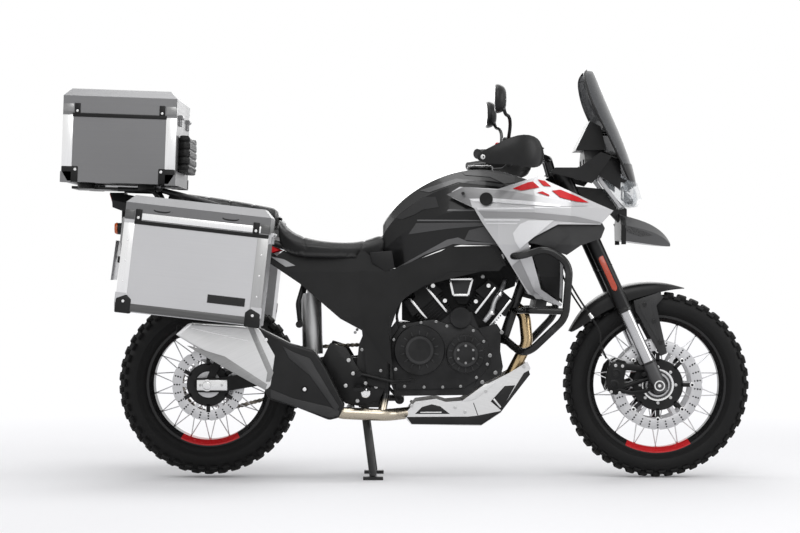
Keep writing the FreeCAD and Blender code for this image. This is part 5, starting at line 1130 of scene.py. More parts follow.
def caliper_dressing():
    """Four-piston caliper: bosses, bridge bolts, hose fitting and the curved arms down to the fork."""
    bosses = []
    for reach, ahead in ((.052, -.15), (.012, -.158)):
        centre = FRONT_AXLE + Z * (reach - .01) + X * ahead
        bosses.append(turned_round([(.098, 0.0), (.098, .02), (.1085, .019), (.111, .016), (.111, .011),
                                    (.108, .01), (.108, 0)], Vector((centre.x, 0, centre.z)), 32, -Y,
                                   smooth=40))
    body = beside_axle(((-.176, .066), (-.16, .084), (-.132, .08), (-.118, .06), (-.122, .03), (-.118, .004),
                        (-.126, -.02), (-.15, -.034), (-.172, -.028), (-.184, 0.0), (-.186, .036)), -.096,
                       -.013, .004)
    arm_top = beside_axle(((-.15, .074), (-.12, .078), (-.06, .07), (-.03, .06), (-.032, .048), (-.07, .056),
                           (-.12, .062)), -.1, -.01, .003)
    arm_low = beside_axle(((-.16, -.014), (-.14, -.026), (-.09, -.034), (-.045, -.026), (-.014, -.01),
                           (-.01, .004), (-.044, -.012), (-.09, -.02), (-.14, -.01)), -.1, -.012, .003)
    paired(bosses + [body, arm_top, arm_low], "front_caliper_bodies", "caliper_black", "steering")
    bolts = screws([FRONT_AXLE + Vector((x, -.1105, z)) for x, z in ((-.152, .07), (-.168, -.022),
                                                                     (-.128, .068), (-.138, -.026),
                                                                     (-.046, .06))], -Y, .0055, .004)
    paired([bolts], "front_caliper_bolts", "dull_steel", "steering")
    line = hose([side(.775, .56, -.05), side(.782, .5, -.08), side(.795, .452, -.104),
                 side(.815, .412, -.112), side(.85, .36, -.112), side(.872, .325, -.11),
                 side(.868, .3, -.104), side(.884, .268, -.1)], .0034)
    clip = cylinder(side(.845, .368, -.116), side(.853, .357, -.116), .007, 12)
    paired([line], "front_brake_hoses", "grip_rubber", "steering")
    paired([clip], "front_hose_clips", "bright_steel", "steering")


fork_dressing()
caliper_dressing()


# Rows round a hand guard: forward, out, low edge, high edge and bulge
HAND_GUARD = ((.59, .466, .698, .709, .003), (.6, .476, .692, .716, .004),
              (.62, .481, .689, .726, .006), (.648, .483, .688, .74, .007),
              (.675, .476, .686, .751, .008), (.701, .46, .68, .752, .009),
              (.72, .43, .683, .745, .01), (.729, .39, .69, .733, .01),
              (.729, .345, .696, .723, .008))


def hand_guard():
    """A moulded shield that wraps from the bar end round in front of the levers."""
    rings = []
    for forward, out, low, high, bulge in HAND_GUARD:
        ahead = max(0.0, (forward - .67) / .06)
        way = Vector((min(1.0, ahead) * .8, -(1.2 - min(1.0, ahead)), 0)).normalized()
        ring = []
        for i in range(7):
            share = i / 6
            edge = math.sin(math.pi * share) ** .5 if 0 < share < 1 else 0
            ring.append(side(forward, low + (high - low) * share, -out) + way * bulge * edge)
        rings.append(ring)
    shell = skinned(rings, closed=False, levels=1, wall=.004)
    ridges = [hose([side(.713, .685 + .06 * share, -.448), side(.724, .686 + .056 * share, -.42),
                    side(.733, .69 + .046 * share, -.388)], .0022) for share in (.25, .5, .75)]
    paired([shell] + ridges, "hand_guard_shields", "shield_black", "steering",
           ("hand_guards",))
    bolted("bar_end_bolts", "dull_steel", -.4765, .008, .005, ((.601, .7035),), "steering")
    housing = sheet_on(((.623, .708), (.628, .733), (.648, .737), (.67, .734), (.676, .712), (.665, .702),
                        (.64, .7)), -.33, .05, .006)
    paired([housing], "switch_housings", "black_plastic", "steering")
    switch = sheet_on(((.629, .733), (.633, .7395), (.648, .7395), (.651, .734)), -.322, .022, .002)
    fitted(switch, "stop_switch", "red_paint", "steering")
    lever = skinned([[p + Vector((0, 0, -.006)), p + Vector((-.004, 0, 0)), p + Vector((0, 0, .006)),
                      p + Vector((.008, 0, 0))] for p in (side(.693, .72, -.3), side(.696, .718, -.345),
                                                          side(.69, .713, -.4), side(.682, .708, -.45))],
                    levels=1)
    paired([lever], "levers", "caliper_black", "steering")
    jar = turned_round([(0, 0), (0, .021), (.024, .022), (.028, .018), (.028, 0)], side(.662, .735, -.255),
                       32, Z)
    paired([jar], "fluid_reservoirs", "gloss_black", "steering")


# A mirror's outline, and its rings: depth and share of the outline
MIRROR = ((.07, -.02), (.066, .022), (.045, .046), (0, .052), (-.045, .046), (-.066, .022), (-.07, -.02),
          (-.052, -.044), (0, -.05), (.052, -.044))
MIRROR_RINGS = ((-.02, .88), (-.017, 1.0), (-.006, 1.0), (.01, .86), (.02, .55))


def mirror_head():
    """One mirror: a soft five-sided shell on its stalk, with the glass set into the back."""
    low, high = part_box("mirrors")
    centre = Vector(((low.x + high.x) / 2 - .004, -.405, high.z - .054))
    along, across = math.cos(MIRROR_TURN), math.sin(MIRROR_TURN)
    rings = [[centre + Vector((depth * along + y * grow * across, y * grow * along, z * grow))
              for y, z in MIRROR] for depth, grow in MIRROR_RINGS]
    shell = skinned(rings, closed=True, levels=2)
    paired([shell], "mirror_heads", "shield_black", "steering", ("mirrors",))
    glass = plate([centre + (corner - centre) * .93 + X * -.0012 for corner in rings[0]], (-.001, 0, 0), 0)
    paired([glass], "mirror_glass", "glass", "steering")
    foot = side(.658, .735, -.285)
    stalk = hose([foot, foot + Vector((.01, -.02, .05)), foot + Vector((.006, -.07, .095)),
                  centre + Vector((.012, .02, -.05)), centre + Vector((.008, 0, -.01))], .0062, 4)
    base = turned_round([(0, 0), (0, .014), (.016, .011), (.018, .008), (.018, 0)], foot - Z * .008, 24, Z)
    paired([stalk, base], "mirror_stalks", "gloss_black", "steering")


# Rows up the screen: up, forward at the edge and at the middle, and share of the half width
SCREEN = ((.652, .943, .956, .36), (.665, .932, .955, .66), (.7, .914, .947, .86), (.74, .894, .934, .97),
          (.78, .873, .918, 1.0), (.83, .848, .896, .97), (.87, .836, .879, .88), (.9, .832, .867, .66),
          (.908, .84, .862, .4))
SCREEN_HALF, COVER_HALF = .178, .105
# Rows of the headlamp's cover: forward, up and share of the half width
COVER = ((.955, .606, .3), (.962, .62, .62), (.958, .642, .84), (.944, .662, .94), (.922, .68, .9),
         (.898, .694, .78))


def screen():
    """The clear screen with its edging, its dark skirt and its mounts."""
    rings = []
    for up, edge, front, share in SCREEN:
        half = SCREEN_HALF * share
        rings.append([side(edge + (front - edge) * bow, up, half * y) for y, bow in
                      ((-1, 0), (-.82, .42), (-.5, .78), (0, 1), (.5, .78), (.82, .42), (1, 0))])
    sheet = skinned(rings, closed=False, levels=2, wall=.0035)
    fitted(sheet, "clear_screen", "smoke", "chassis", ("windscreen",))
    border = [hose([ring[end] + X * .001 for ring in rings], .0042, 2) for end in (0, -1)]
    lower = [[p + X * .0022 for p in ring] for ring in rings[:3]]
    skirt = skinned(lower, closed=False, levels=2, wall=.002)
    fitted(joined(border), "screen_edging", "screen_edge")
    fitted(skirt, "screen_skirt", "screen_edge")
    for up in (.775, .715):
        pads = [cylinder(side(.876 + (.775 - up) * .3, up, y), side(.902 + (.775 - up) * .34, up, y), .012,
                         20) for y in (-.075, .075)]
        fitted(joined(pads), "screen_mounts_%d" % round(up * 1000), "gloss_black")


def lamp():
    """The twin headlamp: dark bowl, chrome reflectors, clear cover and a silver bezel each side."""
    rings = [[side(forward - .03 * abs(y) ** 2.2, up, COVER_HALF * share * y)
              for y in (-1, -.75, -.4, 0, .4, .75, 1)] for forward, up, share in COVER]
    cover = skinned(rings, closed=False, levels=2, wall=.002)
    fitted(cover, "headlamp_cover", "lens")
    for hand, word in HANDS:
        centre = side(.928, .636, hand * .048)
        bowl = turned_round([(-.002, 0), (-.002, .02), (.01, .034), (.026, .04), (.026, .042), (.008, .037),
                             (-.006, .022), (-.006, 0)], centre, 40, X, smooth=40)
        bulb = turned_round([(0, 0), (.002, .012), (.01, .015), (.016, .011), (.019, 0)], centre, 28, X)
        fitted(bowl, "headlamp_reflector_" + word, "chrome")
        fitted(bulb, "headlamp_projector_" + word, "glass")
    bezel = sheet_on(((.885, .693), (.862, .666), (.912, .601), (.919, .603), (.874, .666), (.894, .69)),
                     -.109, .014, .002)
    paired([bezel], "headlamp_bezels", "silver_trim")
    brow = sheet_on(((.893, .678), (.93, .664), (.924, .656), (.886, .668)), -.1085, .01, .002)
    paired([brow], "headlamp_brows", "dark_plastic")


def beak_mesh():
    """The pierced pane in the side of the beak."""
    pane = sheet_on(((.912, .57), (.925, .564), (.97, .549), (.988, .541), (.96, .538), (.92, .55)), -.1,
                    -.04, .001)
    paired([laid_on(pane, "beak", .0008)], "beak_mesh", "mesh")


PANE_CELL = .016


def laid_on(piece, node, lift, thick=.0008):
    """Lays a flat outline on the side of a node: cut into cells, pressed on and given a thickness."""
    edit(piece)
    bpy.ops.mesh.select_mode(type="FACE")
    bpy.ops.mesh.select_all(action="DESELECT")
    mesh = bmesh.from_edit_mesh(piece.data)
    for face in mesh.faces:
        face.select = face.normal.y < -.9
    bmesh.update_edit_mesh(piece.data)
    bpy.ops.mesh.select_all(action="INVERT")
    bpy.ops.mesh.delete(type="FACE")
    low = [min(v.co[i] for v in mesh.verts) for i in (0, 2)]
    high = [max(v.co[i] for v in mesh.verts) for i in (0, 2)]
    for normal, a, b in ((X, low[0], high[0]), (Z, low[1], high[1])):
        cells = max(6, round((b - a) / PANE_CELL))
        for i in range(1, cells):
            bpy.ops.mesh.select_all(action="SELECT")
            place = normal * (a + (b - a) * i / cells)
            bpy.ops.mesh.bisect(plane_co=place, plane_no=normal)
    bpy.ops.mesh.select_mode(type="VERT")
    settle()
    wrap = piece.modifiers.new("laid", "SHRINKWRAP")
    wrap.target, wrap.wrap_method, wrap.use_project_y = frame["nodes"][node], "PROJECT", True
    wrap.use_negative_direction, wrap.use_positive_direction, wrap.offset = False, True, lift
    apply_modifiers(piece)
    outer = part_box(node)[0].y - .003
    met = [v.co.copy() for v in piece.data.vertices if v.co.y > outer]
    for corner in piece.data.vertices:
        if corner.co.y <= outer:
            corner.co.y = min(met, key=lambda p: (p.x - corner.co.x) ** 2 + (p.z - corner.co.z) ** 2).y
    wall = piece.modifiers.new("wall", "SOLIDIFY")
    wall.thickness, wall.offset = thick, 1
    return soften(piece, 0, angle=40)


hand_guard()
mirror_head()
screen()
lamp()
beak_mesh()


# Panels, bands and stripes laid on the tank, the fairings and the side covers, among them painted highlights,
# painted shade and a painted reflection

def inlay(name, node, finish, outlines, lift=.0014, thick=.0008):
    """Thin panes laid on both sides of a node, each from its outline on the side of the machine."""
    panes = [laid_on(sheet_on(outline, -.3, -.01, 0), node, lift, thick) for outline in outlines]
    return paired(panes, name, finish)


def fairing_panes():
    # dark at the rear and paling forward along the top of the fairing: painted reflection
    inlay("fairing_flank_painted_reflection", "side_fairings", "flank",
          [[(.5284, .6299), (.5652, .6465), (.6726, .6367), (.7585, .6198), (.8383, .6045), (.78, .6029),
            (.688, .6121), (.579, .6198), (.5836, .6029)]])
    inlay("fairing_stripes", "side_fairings", "pale_silver",
          [[(.5775, .6204), (.6297, .6213), (.7064, .6152), (.777, .6054), (.7754, .6023), (.7064, .6066),
            (.6266, .6127), (.5867, .6146)], [(.5944, .6005), (.7125, .6005), (.7248, .5968), (.5959, .5962)],
           [(.6097, .5762), (.688, .575), (.688, .5719), (.6106, .5722)],
           [(.6143, .5676), (.6818, .567), (.6818, .5643), (.6152, .5649)]], .003)
    inlay("fairing_bands", "side_fairings", "mid_silver",
          [[(.5974, .5937), (.7186, .59), (.8107, .5814), (.8644, .5698), (.8675, .5661), (.8168, .5686),
            (.7616, .5722), (.7248, .5753), (.688, .5778), (.6097, .5784)]], .0022)
    inlay("fairing_darts", "side_fairings", "red_paint",
          [[(.6726, .6427), (.7063, .6565), (.7171, .6581), (.7309, .6452), (.691, .6381)],
           [(.7278, .6627), (.7432, .6596), (.757, .6473), (.7401, .6488)],
           [(.7263, .6335), (.737, .6366), (.7524, .6289), (.7524, .6259)],
           [(.7585, .6381), (.777, .6403), (.8169, .6243), (.8399, .6121), (.8138, .6137), (.777, .6228)]],
          .003)
    # a raised panel, paler where the fairing's scoop catches the light: painted highlight
    inlay("fairing_scoops_painted_highlight", "side_fairings", "pale_silver",
          [[(.6879, .5645), (.7063, .5725), (.7615, .5725), (.7032, .5237), (.6879, .5108), (.6771, .5262),
            (.6725, .5446)]], .003, .003)
    inlay("fairing_leg_shade", "side_fairings", "mid_silver",
          [[(.6711, .4734), (.688, .4878), (.7202, .4188), (.7432, .3995), (.7248, .401), (.7033, .4234)]])
    inlay("grille_ledges", "upper_grilles", "grey_plastic",
          [[(.7033, .5247), (.7693, .5584), (.7938, .54), (.7647, .5133)]], .001, .004)
    inlay("lower_grille_edges", "radiator_shrouds", "mid_silver",
          [[(.7693, .4909), (.7831, .4832), (.7816, .4004), (.777, .4035), (.777, .4802)]])
    boss = turned_round([(.2, 0), (.2, .02), (.212, .023), (.2165, .0225), (.2175, .02), (.217, .017),
                         (.217, 0)], Vector((side(.6143, .6198).x, 0, side(.6143, .6198).z)), 48, -Y,
                        smooth=40)
    paired([boss], "fairing_bosses", "dark_plastic")
    heads = screws([side(.5637, .6321, -.2045), side(.733, .561, -.225)], -Y, .006, .004)
    paired([heads], "fairing_screws", "gloss_black")


def tank_panes():
    # a pale line along the tank's shoulder, where its edge catches the light: painted highlight
    inlay("tank_top_painted_highlight", "fuel_tank", "tank_grey_b",
          [[(.4693, .6406), (.5502, .6663), (.5994, .661), (.6557, .6522), (.6486, .6476), (.5537, .6575),
            (.4904, .6357)]])
    inlay("tank_shoulders", "fuel_tank", "tank_grey_c",
          [[(.5648, .68), (.6175, .6838), (.6802, .672), (.6802, .6579), (.6562, .6544), (.625, .67),
            (.57, .6745)], [(.4166, .58), (.4763, .6257), (.5044, .6257), (.5114, .6029), (.4763, .5976),
                            (.4587, .5871), (.4306, .5765)]])
    # the first of these lines is a painted highlight along the tank's side; the other two are pale lines
    # lower down
    inlay("tank_lines", "fuel_tank", "tank_grey_a",
          [[(.5325, .5983), (.5887, .5969), (.5922, .594), (.529, .594)],
           [(.464, .5754), (.6062, .5744), (.608, .5716), (.464, .5723)],
           [(.399, .4588), (.529, .5308), (.5536, .5361), (.5746, .5273), (.6379, .5231), (.6379, .5196),
            (.543, .5216), (.48, .498), (.406, .457)]], .0012)
    inlay("tank_low_bands", "fuel_tank", "tank_grey_b",
          [[(.4622, .5677), (.6062, .5688), (.6203, .5624), (.5325, .5554), (.4447, .5431)],
           [(.5781, .5519), (.6203, .5617), (.6361, .5231), (.5676, .5308)]])
    cap = turned_round([(-.004, 0), (-.004, .044), (.006, .047), (.012, .044), (.014, .036), (.013, 0)],
                       side(.606, .6893), 48, Z, smooth=40)
    fitted(cap, "filler_cap", "gloss_black")
    ring = screws([side(.606, .6893) + Vector((math.cos(a), math.sin(a), 0)) * .04 + Z * .0125
                   for a in [math.radians(72 * i + 20) for i in range(5)]], Z, .0032, .003)
    fitted(ring, "filler_screws", "dull_steel")


def cover_panes():
    inlay("cover_accents_red", "tail_unit", "red_paint",
          [[(.134, .5226), (.1591, .5079), (.1325, .5005)]])
    inlay("cover_accents_grey", "side_covers", "mid_silver",
          [[(.1384, .4946), (.17, .4875), (.1945, .474), (.1738, .471)]])
    inlay("cover_panels", "side_covers", "dark_plastic",
          [[(.338, .4617), (.3935, .4586), (.4614, .4863), (.5355, .513), (.63, .513), (.654, .474),
            (.6435, .462), (.5355, .462), (.4398, .406), (.399, .356), (.404, .294), (.41, .25), (.39, .27),
            (.35, .33), (.338, .4)]], .0008, .0014)
    corners = sheet_on([(.36, .502), (.408, .507), (.414, .47), (.395, .46), (.364, .48)], -.148, .006, .002)
    paired([corners], "seat_corner_covers", "black_plastic")
    inlay("beak_roots", "beak", "dark_plastic",
          [[(.9158, .585), (.9262, .58), (.9262, .521), (.9158, .521)]])
    bolted("cover_screws", "latch_grey", -.1725, .0055, .004,
           ((.3275, .3271), (.3421, .2892), (.3835, .2431), (.4163, .2458)))


fairing_panes()
tank_panes()
cover_panes()


# Engine, skid plate, exhaust, feet and rear end

def bar_on(a, b, y, half, depth, bevel=.0012):
    """A straight bar between two places on the side of the machine, set in from a plane."""
    start, end = side(*a, y), side(*b, y)
    run = (end - start).normalized()
    across = Vector((-run.z, 0, run.x)) * half
    return plate([start - across, end - across, end + across, start + across], (0, depth, 0), bevel)


def ring_on(u, z, profile, steps=48):
    """A lathe-turned form on the side of the machine: places out from the middle and radii."""
    at = side(u, z)
    return turned_round(profile, at, steps, -Y, smooth=40)


def engine_dressing():
    """Covers with their rings and bolts, bright edges, pipes and hoses on both sides of the engine."""
    flange = sheet_on([(.4166, .2), (.4083, .25), (.405, .31), (.43, .345), (.5, .355), (.53, .345),
                       (.575, .348), (.6, .33), (.6218, .303), (.626, .254), (.6, .223), (.565, .202),
                       (.44, .199)], -.112, -.009, .003)
    rims = [ring_on(.469, .287, [(.112, 0), (.112, .09), (.127, .089), (.13, .086), (.13, 0)]),
            ring_on(.571, .278, [(.112, 0), (.112, .069), (.124, .068), (.127, .064), (.127, 0)])]
    paired([flange] + rims, "engine_covers", "engine_black")
    caps = []
    for u, z, out, reach in ((.469, .287, .1475, .05), (.571, .278, .1475, .044)):
        caps.append(ring_on(u, z, [(out - .004, reach - .012), (out - .004, reach - .001),
                                   (out + .0012, reach - .002), (out + .002, reach - .006),
                                   (out + .0012, reach - .011)]))
        rib = box((-.0022, -.1385, reach + .002), (.0022, -.134, reach + .018), .0012)
        caps.append(round_axle(moved(rib, Matrix.Translation(side(u, z))), 14, side(u, z)))
    paired(caps, "engine_cover_rings", "cover_black")
    bolted("engine_cover_bolts", "latch_grey", -.121, .0052, .0045,
           ((.4723, .3475), (.5058, .35), (.5296, .34), (.56, .34), (.588, .33), (.611, .306), (.619, .2558),
            (.595, .2264), (.5599, .2069), (.5203, .205), (.4792, .205), (.4361, .2069), (.4166, .245),
            (.412, .31), (.4352, .339)))
    small = screws([side(.571, .278, -.1478) + Vector((math.cos(a), 0, math.sin(a))) * .03
                    for a in [math.radians(60 * i + 30) for i in range(6)]], -Y, .0042, .003)
    paired([small], "engine_cap_screws", "latch_grey")
    ridges = [bar_on(a, b, -.0835, .0038, .01) for a, b in (((.4837, .4272), (.5305, .371)),
                                                            ((.4493, .3991), (.4852, .3554)),
                                                            ((.6382, .4256), (.5929, .3679)),
                                                            ((.6726, .3975), (.6226, .3351)))]
    frame_bars = [bar_on(a, b, -.085, .004, .012) for a, b in (((.5367, .4444), (.5867, .4444)),
                                                               ((.5867, .4444), (.5773, .4085)),
                                                               ((.5773, .4085), (.5446, .4085)),
                                                               ((.5446, .4085), (.5367, .4444)))]
    stubs = [ring_on(u, z, [(.06, 0), (.06, .0085), (.09, .0085), (.092, .007), (.092, .004), (.089, .0035),
                            (.089, 0)], 20) for u, z in ((.4993, .4294), (.6226, .4294), (.5258, .396),
                                                         (.5945, .3944))]
    paired(ridges + frame_bars + stubs, "engine_edges", "machined")
    dark = sheet_on([(.539, .4425), (.5845, .4425), (.576, .4105), (.546, .4105)], -.08, .01, .002)
    paired([dark], "engine_side_box", "cover_black")
    bolts = screws([side(*place) for place in ((.6511, .3265, -.1175), (.6371, .237, -.1175),
                                               (.608, .216, -.1175), (.625, .275, -.1175), (.61, .45, -.083),
                                               (.45, .45, -.083))], -Y, .007, .006)
    paired([bolts], "engine_mount_bolts", "latch_grey")
    pipe = hose([side(.66, .442, -.07), side(.652, .418, -.095), side(.635, .395, -.104),
                 side(.63, .37, -.108), side(.612, .35, -.112)], .0085, 4)
    paired([pipe], "water_pipes", "silver_trim")
    clips = [cylinder(side(.65, .414, -.0975), side(.6455, .406, -.101), .0102, 20, .001),
             cylinder(side(.63, .372, -.1078), side(.6285, .365, -.109), .0102, 20, .001)]
    paired(clips, "water_pipe_clips", "bright_steel")
    coils = [hose([side(.644, .503, -.056), side(.63, .472, -.09), side(.59, .46, -.096),
                   side(.53, .456, -.094), side(.47, .448, -.09)], .005),
             hose([side(.44, .43, -.09), side(.425, .39, -.1), side(.415, .35, -.108), side(.43, .33, -.113)],
                  .0045)]
    paired(coils, "engine_hoses", "grip_rubber")


def skid_dressing():
    """Dark bands round the skid plate, its window and its bolts."""
    low = sheet_on([(.44, .139), (.577, .1398), (.5972, .142), (.648, .152), (.7, .236), (.711, .242),
                    (.714, .233), (.6485, .149), (.606, .121), (.452, .123)], -.1195, .004)
    window = sheet_on([(.4589, .1454), (.4745, .161), (.4962, .1672), (.5149, .1625), (.5366, .1454)], -.119,
                      .003)
    inlet = sheet_on([(.6267, .1734), (.6578, .2076), (.6811, .2091), (.65, .1532)], -.1192, .003)
    seam = bar_on((.5885, .17), (.5988, .1414), -.1186, .0014, .002, .0004)
    paired([low, window, inlet, seam], "skid_plate_bands", "skid_dark")
    upper = sheet_on([(.5615, .1734), (.6143, .212), (.638, .215), (.5956, .1796), (.5832, .1743)], -.1205,
                     .005)
    ribs = [bar_on((.4707, .149), (.518, .149), -.12, .002, .003),
            bar_on((.633, .179), (.649, .16), -.1202, .003, .003)]
    paired([upper] + ribs, "skid_plate_ribs", "skid_silver")
    bolted("skid_plate_bolts", "dull_steel", -.1195, .006, .004,
           ((.452, .164), (.548, .16), (.616, .196), (.7, .25), (.57, .15)))


SILENCER = [(-.065, .323), (-.035, .349), (.112, .34), (.13, .33), (.17, .277), (.16, .214),
            (.135, .2005)]
SHIELD = [(.114, .34), (.187, .303), (.239, .288), (.264, .248), (.305, .168), (.292, .141),
          (.271, .136), (.2, .164), (.141, .181), (.131, .197), (.141, .214), (.15, .277)]


def exhaust_dressing():
    """The silencer's rounded body and shield, which stand for the solids, with bands of painted shade,
    lighter strips on the shield for painted highlight, seams and outlet.
    """
    body = sheet_on(SILENCER, -.222, .076, .009, 4)
    fitted(body, "silencer_body", "silencer_skin", covers=("muffler",))
    # darker strips along the silencer's low edge and down its rear end: painted shade
    low = sheet_on([(-.033, .2985), (.0435, .2752), (.1362, .2143), (.1309, .202), (.0435, .2501),
                    (-.04, .299)], -.2229, .0012, .0004)
    band = sheet_on([(.093, .34), (.106, .3395), (.15, .24), (.142, .22), (.133, .22), (.136, .24)], -.2236,
                    .003, .0012)
    fitted(joined([low, band]), "silencer_painted_shade_bands", "silencer_painted_shade")
    seam = bar_on((-.03, .338), (.095, .309), -.2226, .0014, .001, .0003)
    edge = sheet_on([(-.064, .323), (-.035, .348), (-.027, .3475), (-.054, .3225)], -.2232, .003, .001)
    fitted(joined([seam, edge]), "silencer_seams", "bright_steel")
    rim = turned_round([(-.004, 0.0), (-.004, .02), (.01, .024), (.012, .022), (0.0, .017), (0.0, 0)],
                       side(-.056, .329, -.184), 36, -X, smooth=40)
    fitted(rim, "silencer_outlet", "dark_hole")
    shell = sheet_on(SHIELD, -.2235, .079, .008, 4)
    fitted(shell, "silencer_shield", "shield_black", covers=("muffler_shield",))
    # raised strips in lighter grey along the shield's crease and low edge, standing for its lit facets:
    # painted highlight
    ridge = sheet_on([(.17, .298), (.1918, .285), (.2289, .2712), (.2713, .1997), (.293, .165), (.285, .156),
                      (.2289, .2342), (.185, .27)], -.2265, .005, .002)
    lower = sheet_on([(.143, .204), (.1918, .1839), (.2713, .1653), (.294, .156), (.291, .146), (.2713, .142),
                      (.2077, .163), (.144, .185)], -.2252, .004, .0016)
    fitted(joined([ridge, lower]), "silencer_shield_painted_highlights", "grey_plastic")
    dish = ring_on(.2176, .2038, [(.22, 0), (.22, .012), (.2262, .0115), (.2262, .0085), (.2245, .008),
                                  (.2245, 0)], 32)
    fitted(dish, "silencer_bolt_seat", "dark_hole")
    fitted(screws([side(.2176, .2038, -.2245), side(.133, .312, -.2235)], -Y, .0065, .004), "silencer_bolts",
           "bright_steel")
    clamp = cylinder(side(.318, .153, -.125), side(.311, .156, -.13), .0245, 28, .001)
    fitted(clamp, "exhaust_clamp", "dull_steel")


def foot_dressing():
    """Heel guards, and pivots and rubbers on the foot pegs."""
    guard = sheet_on([(.2721, .3037), (.3069, .293), (.3418, .234), (.37, .218), (.395, .205), (.38, .175),
                      (.335, .164), (.305, .17), (.2882, .19), (.27, .2314), (.255, .2689)], -.144, .006,
                     .0025)
    paired([guard], "heel_guards", "shield_black")
    bolted("heel_guard_bolts", "dull_steel", -.144, .0068, .005,
           ((.3125, .2653), (.3225, .2359), (.306, .209), (.3506, .214), (.332, .1756), (.3731, .207)))
    pivot = ring_on(.3497, .1923, [(.14, 0), (.14, .017), (.15, .0165), (.152, .014), (.152, .008),
                                   (.15, .0075), (.15, 0)], 32)
    paired([pivot], "foot_peg_pivots", "machined")
    first = side(.34, .201, -.226)
    pads = [box(first + X * i * .0115, first + Vector((i * .0115 + .006, .07, .01)), .0012) for i in range(4)]
    paired(pads, "foot_peg_rubbers", "grip_rubber")


def rear_dressing():
    """Chain adjusters and the rear axle's ends."""
    block = sheet_on([(-.0229, .2219), (.0448, .2219), (.0448, .198), (-.0229, .198)], -.14, .012, .003)
    paired([block], "axle_adjusters", "adjuster")
    nut = cylinder(side(0.0, .2095, -.1385), side(0.0, .2095, -.152), .0155, 6, .0012)
    washer = ring_on(0.0, .2095, [(.136, .006), (.136, .021), (.1425, .0205), (.143, .016)], 32)
    fitted(joined([nut, washer]), "rear_axle_nut", "bright_steel")
    cap = ring_on(0.0, .2095, [(.136, 0), (.136, .017), (.148, .016), (.15, .012), (.15, .006), (.147, 0)],
                  32)
    fitted(mirrored(cap), "rear_axle_head", "bright_steel")
    bpy.data.objects.remove(cap)
    bolted("axle_adjuster_screws", "dull_steel", -.1402, .0048, .004, ((.033, .21), (-.015, .21)))


def shock_dressing():
    """The spring wound round the rear shock."""
    low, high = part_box("rear_shock")
    foot = Vector((high.x - .036, 0, low.z + .06))
    head = Vector((low.x + .036, 0, high.z - .06))
    run = (head - foot).normalized()
    across = run.cross(Y).normalized()
    turns, steps, wire, reach = 6, 72, .0052, .03
    line = [foot + run * (head - foot).length * t + (across * math.cos(a) + Y * math.sin(a)) * reach
            for t, a in [(i / steps, 2 * math.pi * turns * i / steps) for i in range(steps + 1)]]
    fitted(hose(line, wire, 3), "shock_spring", "spring_dark")


engine_dressing()
skid_dressing()
exhaust_dressing()
foot_dressing()
rear_dressing()
shock_dressing()


# Seats and backrest: padded by cloth simulation, then sewn

PRESSURE, FRAMES = 4, 20        # of the cloth simulation
CUSHION_SHRINK = -.003         # how far a cushion starts inside its node
UNDERSIDE = (-.3, .0028)      # which way a cushion's underside looks, and how far it is put back
INSIDE = .0003                 # how far a cushion stays inside its node's box
SEAT_TRAY, SEAM_FADE = .8, .03


def cushion(node, name, finish, voxel, cap, seams):
    """A padded piece: a node's shape, a little smaller, swollen by cloth under pressure, then sewn."""
    low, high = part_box(node)
    piece = bpy.data.objects.new(name, frame["nodes"][node].data.copy())
    bpy.context.collection.objects.link(piece)
    face_out(piece)
    remesh = piece.modifiers.new("even", "REMESH")
    remesh.mode, remesh.voxel_size = "VOXEL", voxel
    smooth = piece.modifiers.new("smooth", "SMOOTH")
    smooth.factor, smooth.iterations = .5, 8
    shrink = piece.modifiers.new("smaller", "DISPLACE")
    shrink.strength, shrink.mid_level = CUSHION_SHRINK, 0.0
    apply_modifiers(piece)
    start = [(corner.co.copy(), corner.normal.copy()) for corner in piece.data.vertices]
    cloth = piece.modifiers.new("cloth", "CLOTH")
    cloth.settings.use_pressure, cloth.settings.uniform_pressure_force = True, PRESSURE
    cloth.settings.effector_weights.gravity = 0
    cloth.point_cache.frame_start, cloth.point_cache.frame_end = 1, FRAMES
    for number in range(1, FRAMES + 1):
        bpy.context.scene.frame_set(number)
    apply_modifiers(piece)
    bpy.context.scene.frame_set(1)
    for corner, (place, normal) in zip(piece.data.vertices, start):
        step = corner.co - place
        if normal.z < UNDERSIDE[0]:
            step = normal * UNDERSIDE[1]
        corner.co = place + step * min(1.0, cap / max(step.length, 1e-6))
    finer = piece.modifiers.new("finer", "SUBSURF")
    finer.levels = finer.render_levels = 1
    apply_modifiers(piece)
    places = [(corner.co.copy(), corner.normal.copy()) for corner in piece.data.vertices]
    for corner, (place, normal) in zip(piece.data.vertices, places):
        sink = sum(depth * math.exp(-((place - at).dot(across) / wide) ** 2) * reach(place)
                   for at, across, wide, depth, reach in seams)
        corner.co = place - normal * sink
        for i in range(3):
            corner.co[i] = min(max(corner.co[i], low[i] + INSIDE), high[i] - INSIDE)
    face_out(piece)
    soften(piece, 0, angle=60)
    fitted(piece, name, finish, covers=(node,))


def upper_side(place):
    """Seams fade out towards the tray that the seat stands on."""
    return min(1.0, max(0.0, (place.z - SEAT_TRAY) / SEAM_FADE))


def seat_seams(node, channels, half):
    """Two long seams just inside the edges, and channels sewn across."""
    bottom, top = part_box(node)
    middle = (bottom + top) / 2
    made = [(Vector((middle.x, hand * half, top.z)), Vector((0, 1, .35 * hand)).normalized(), .0026, .0026,
             upper_side) for hand in (-1, 1)]
    for share, lean in channels:
        at = Vector((bottom.x + (top.x - bottom.x) * share, 0, middle.z))
        made.append((at, Vector((1, 0, lean)).normalized(), .0034, .0034, upper_side))
    return made


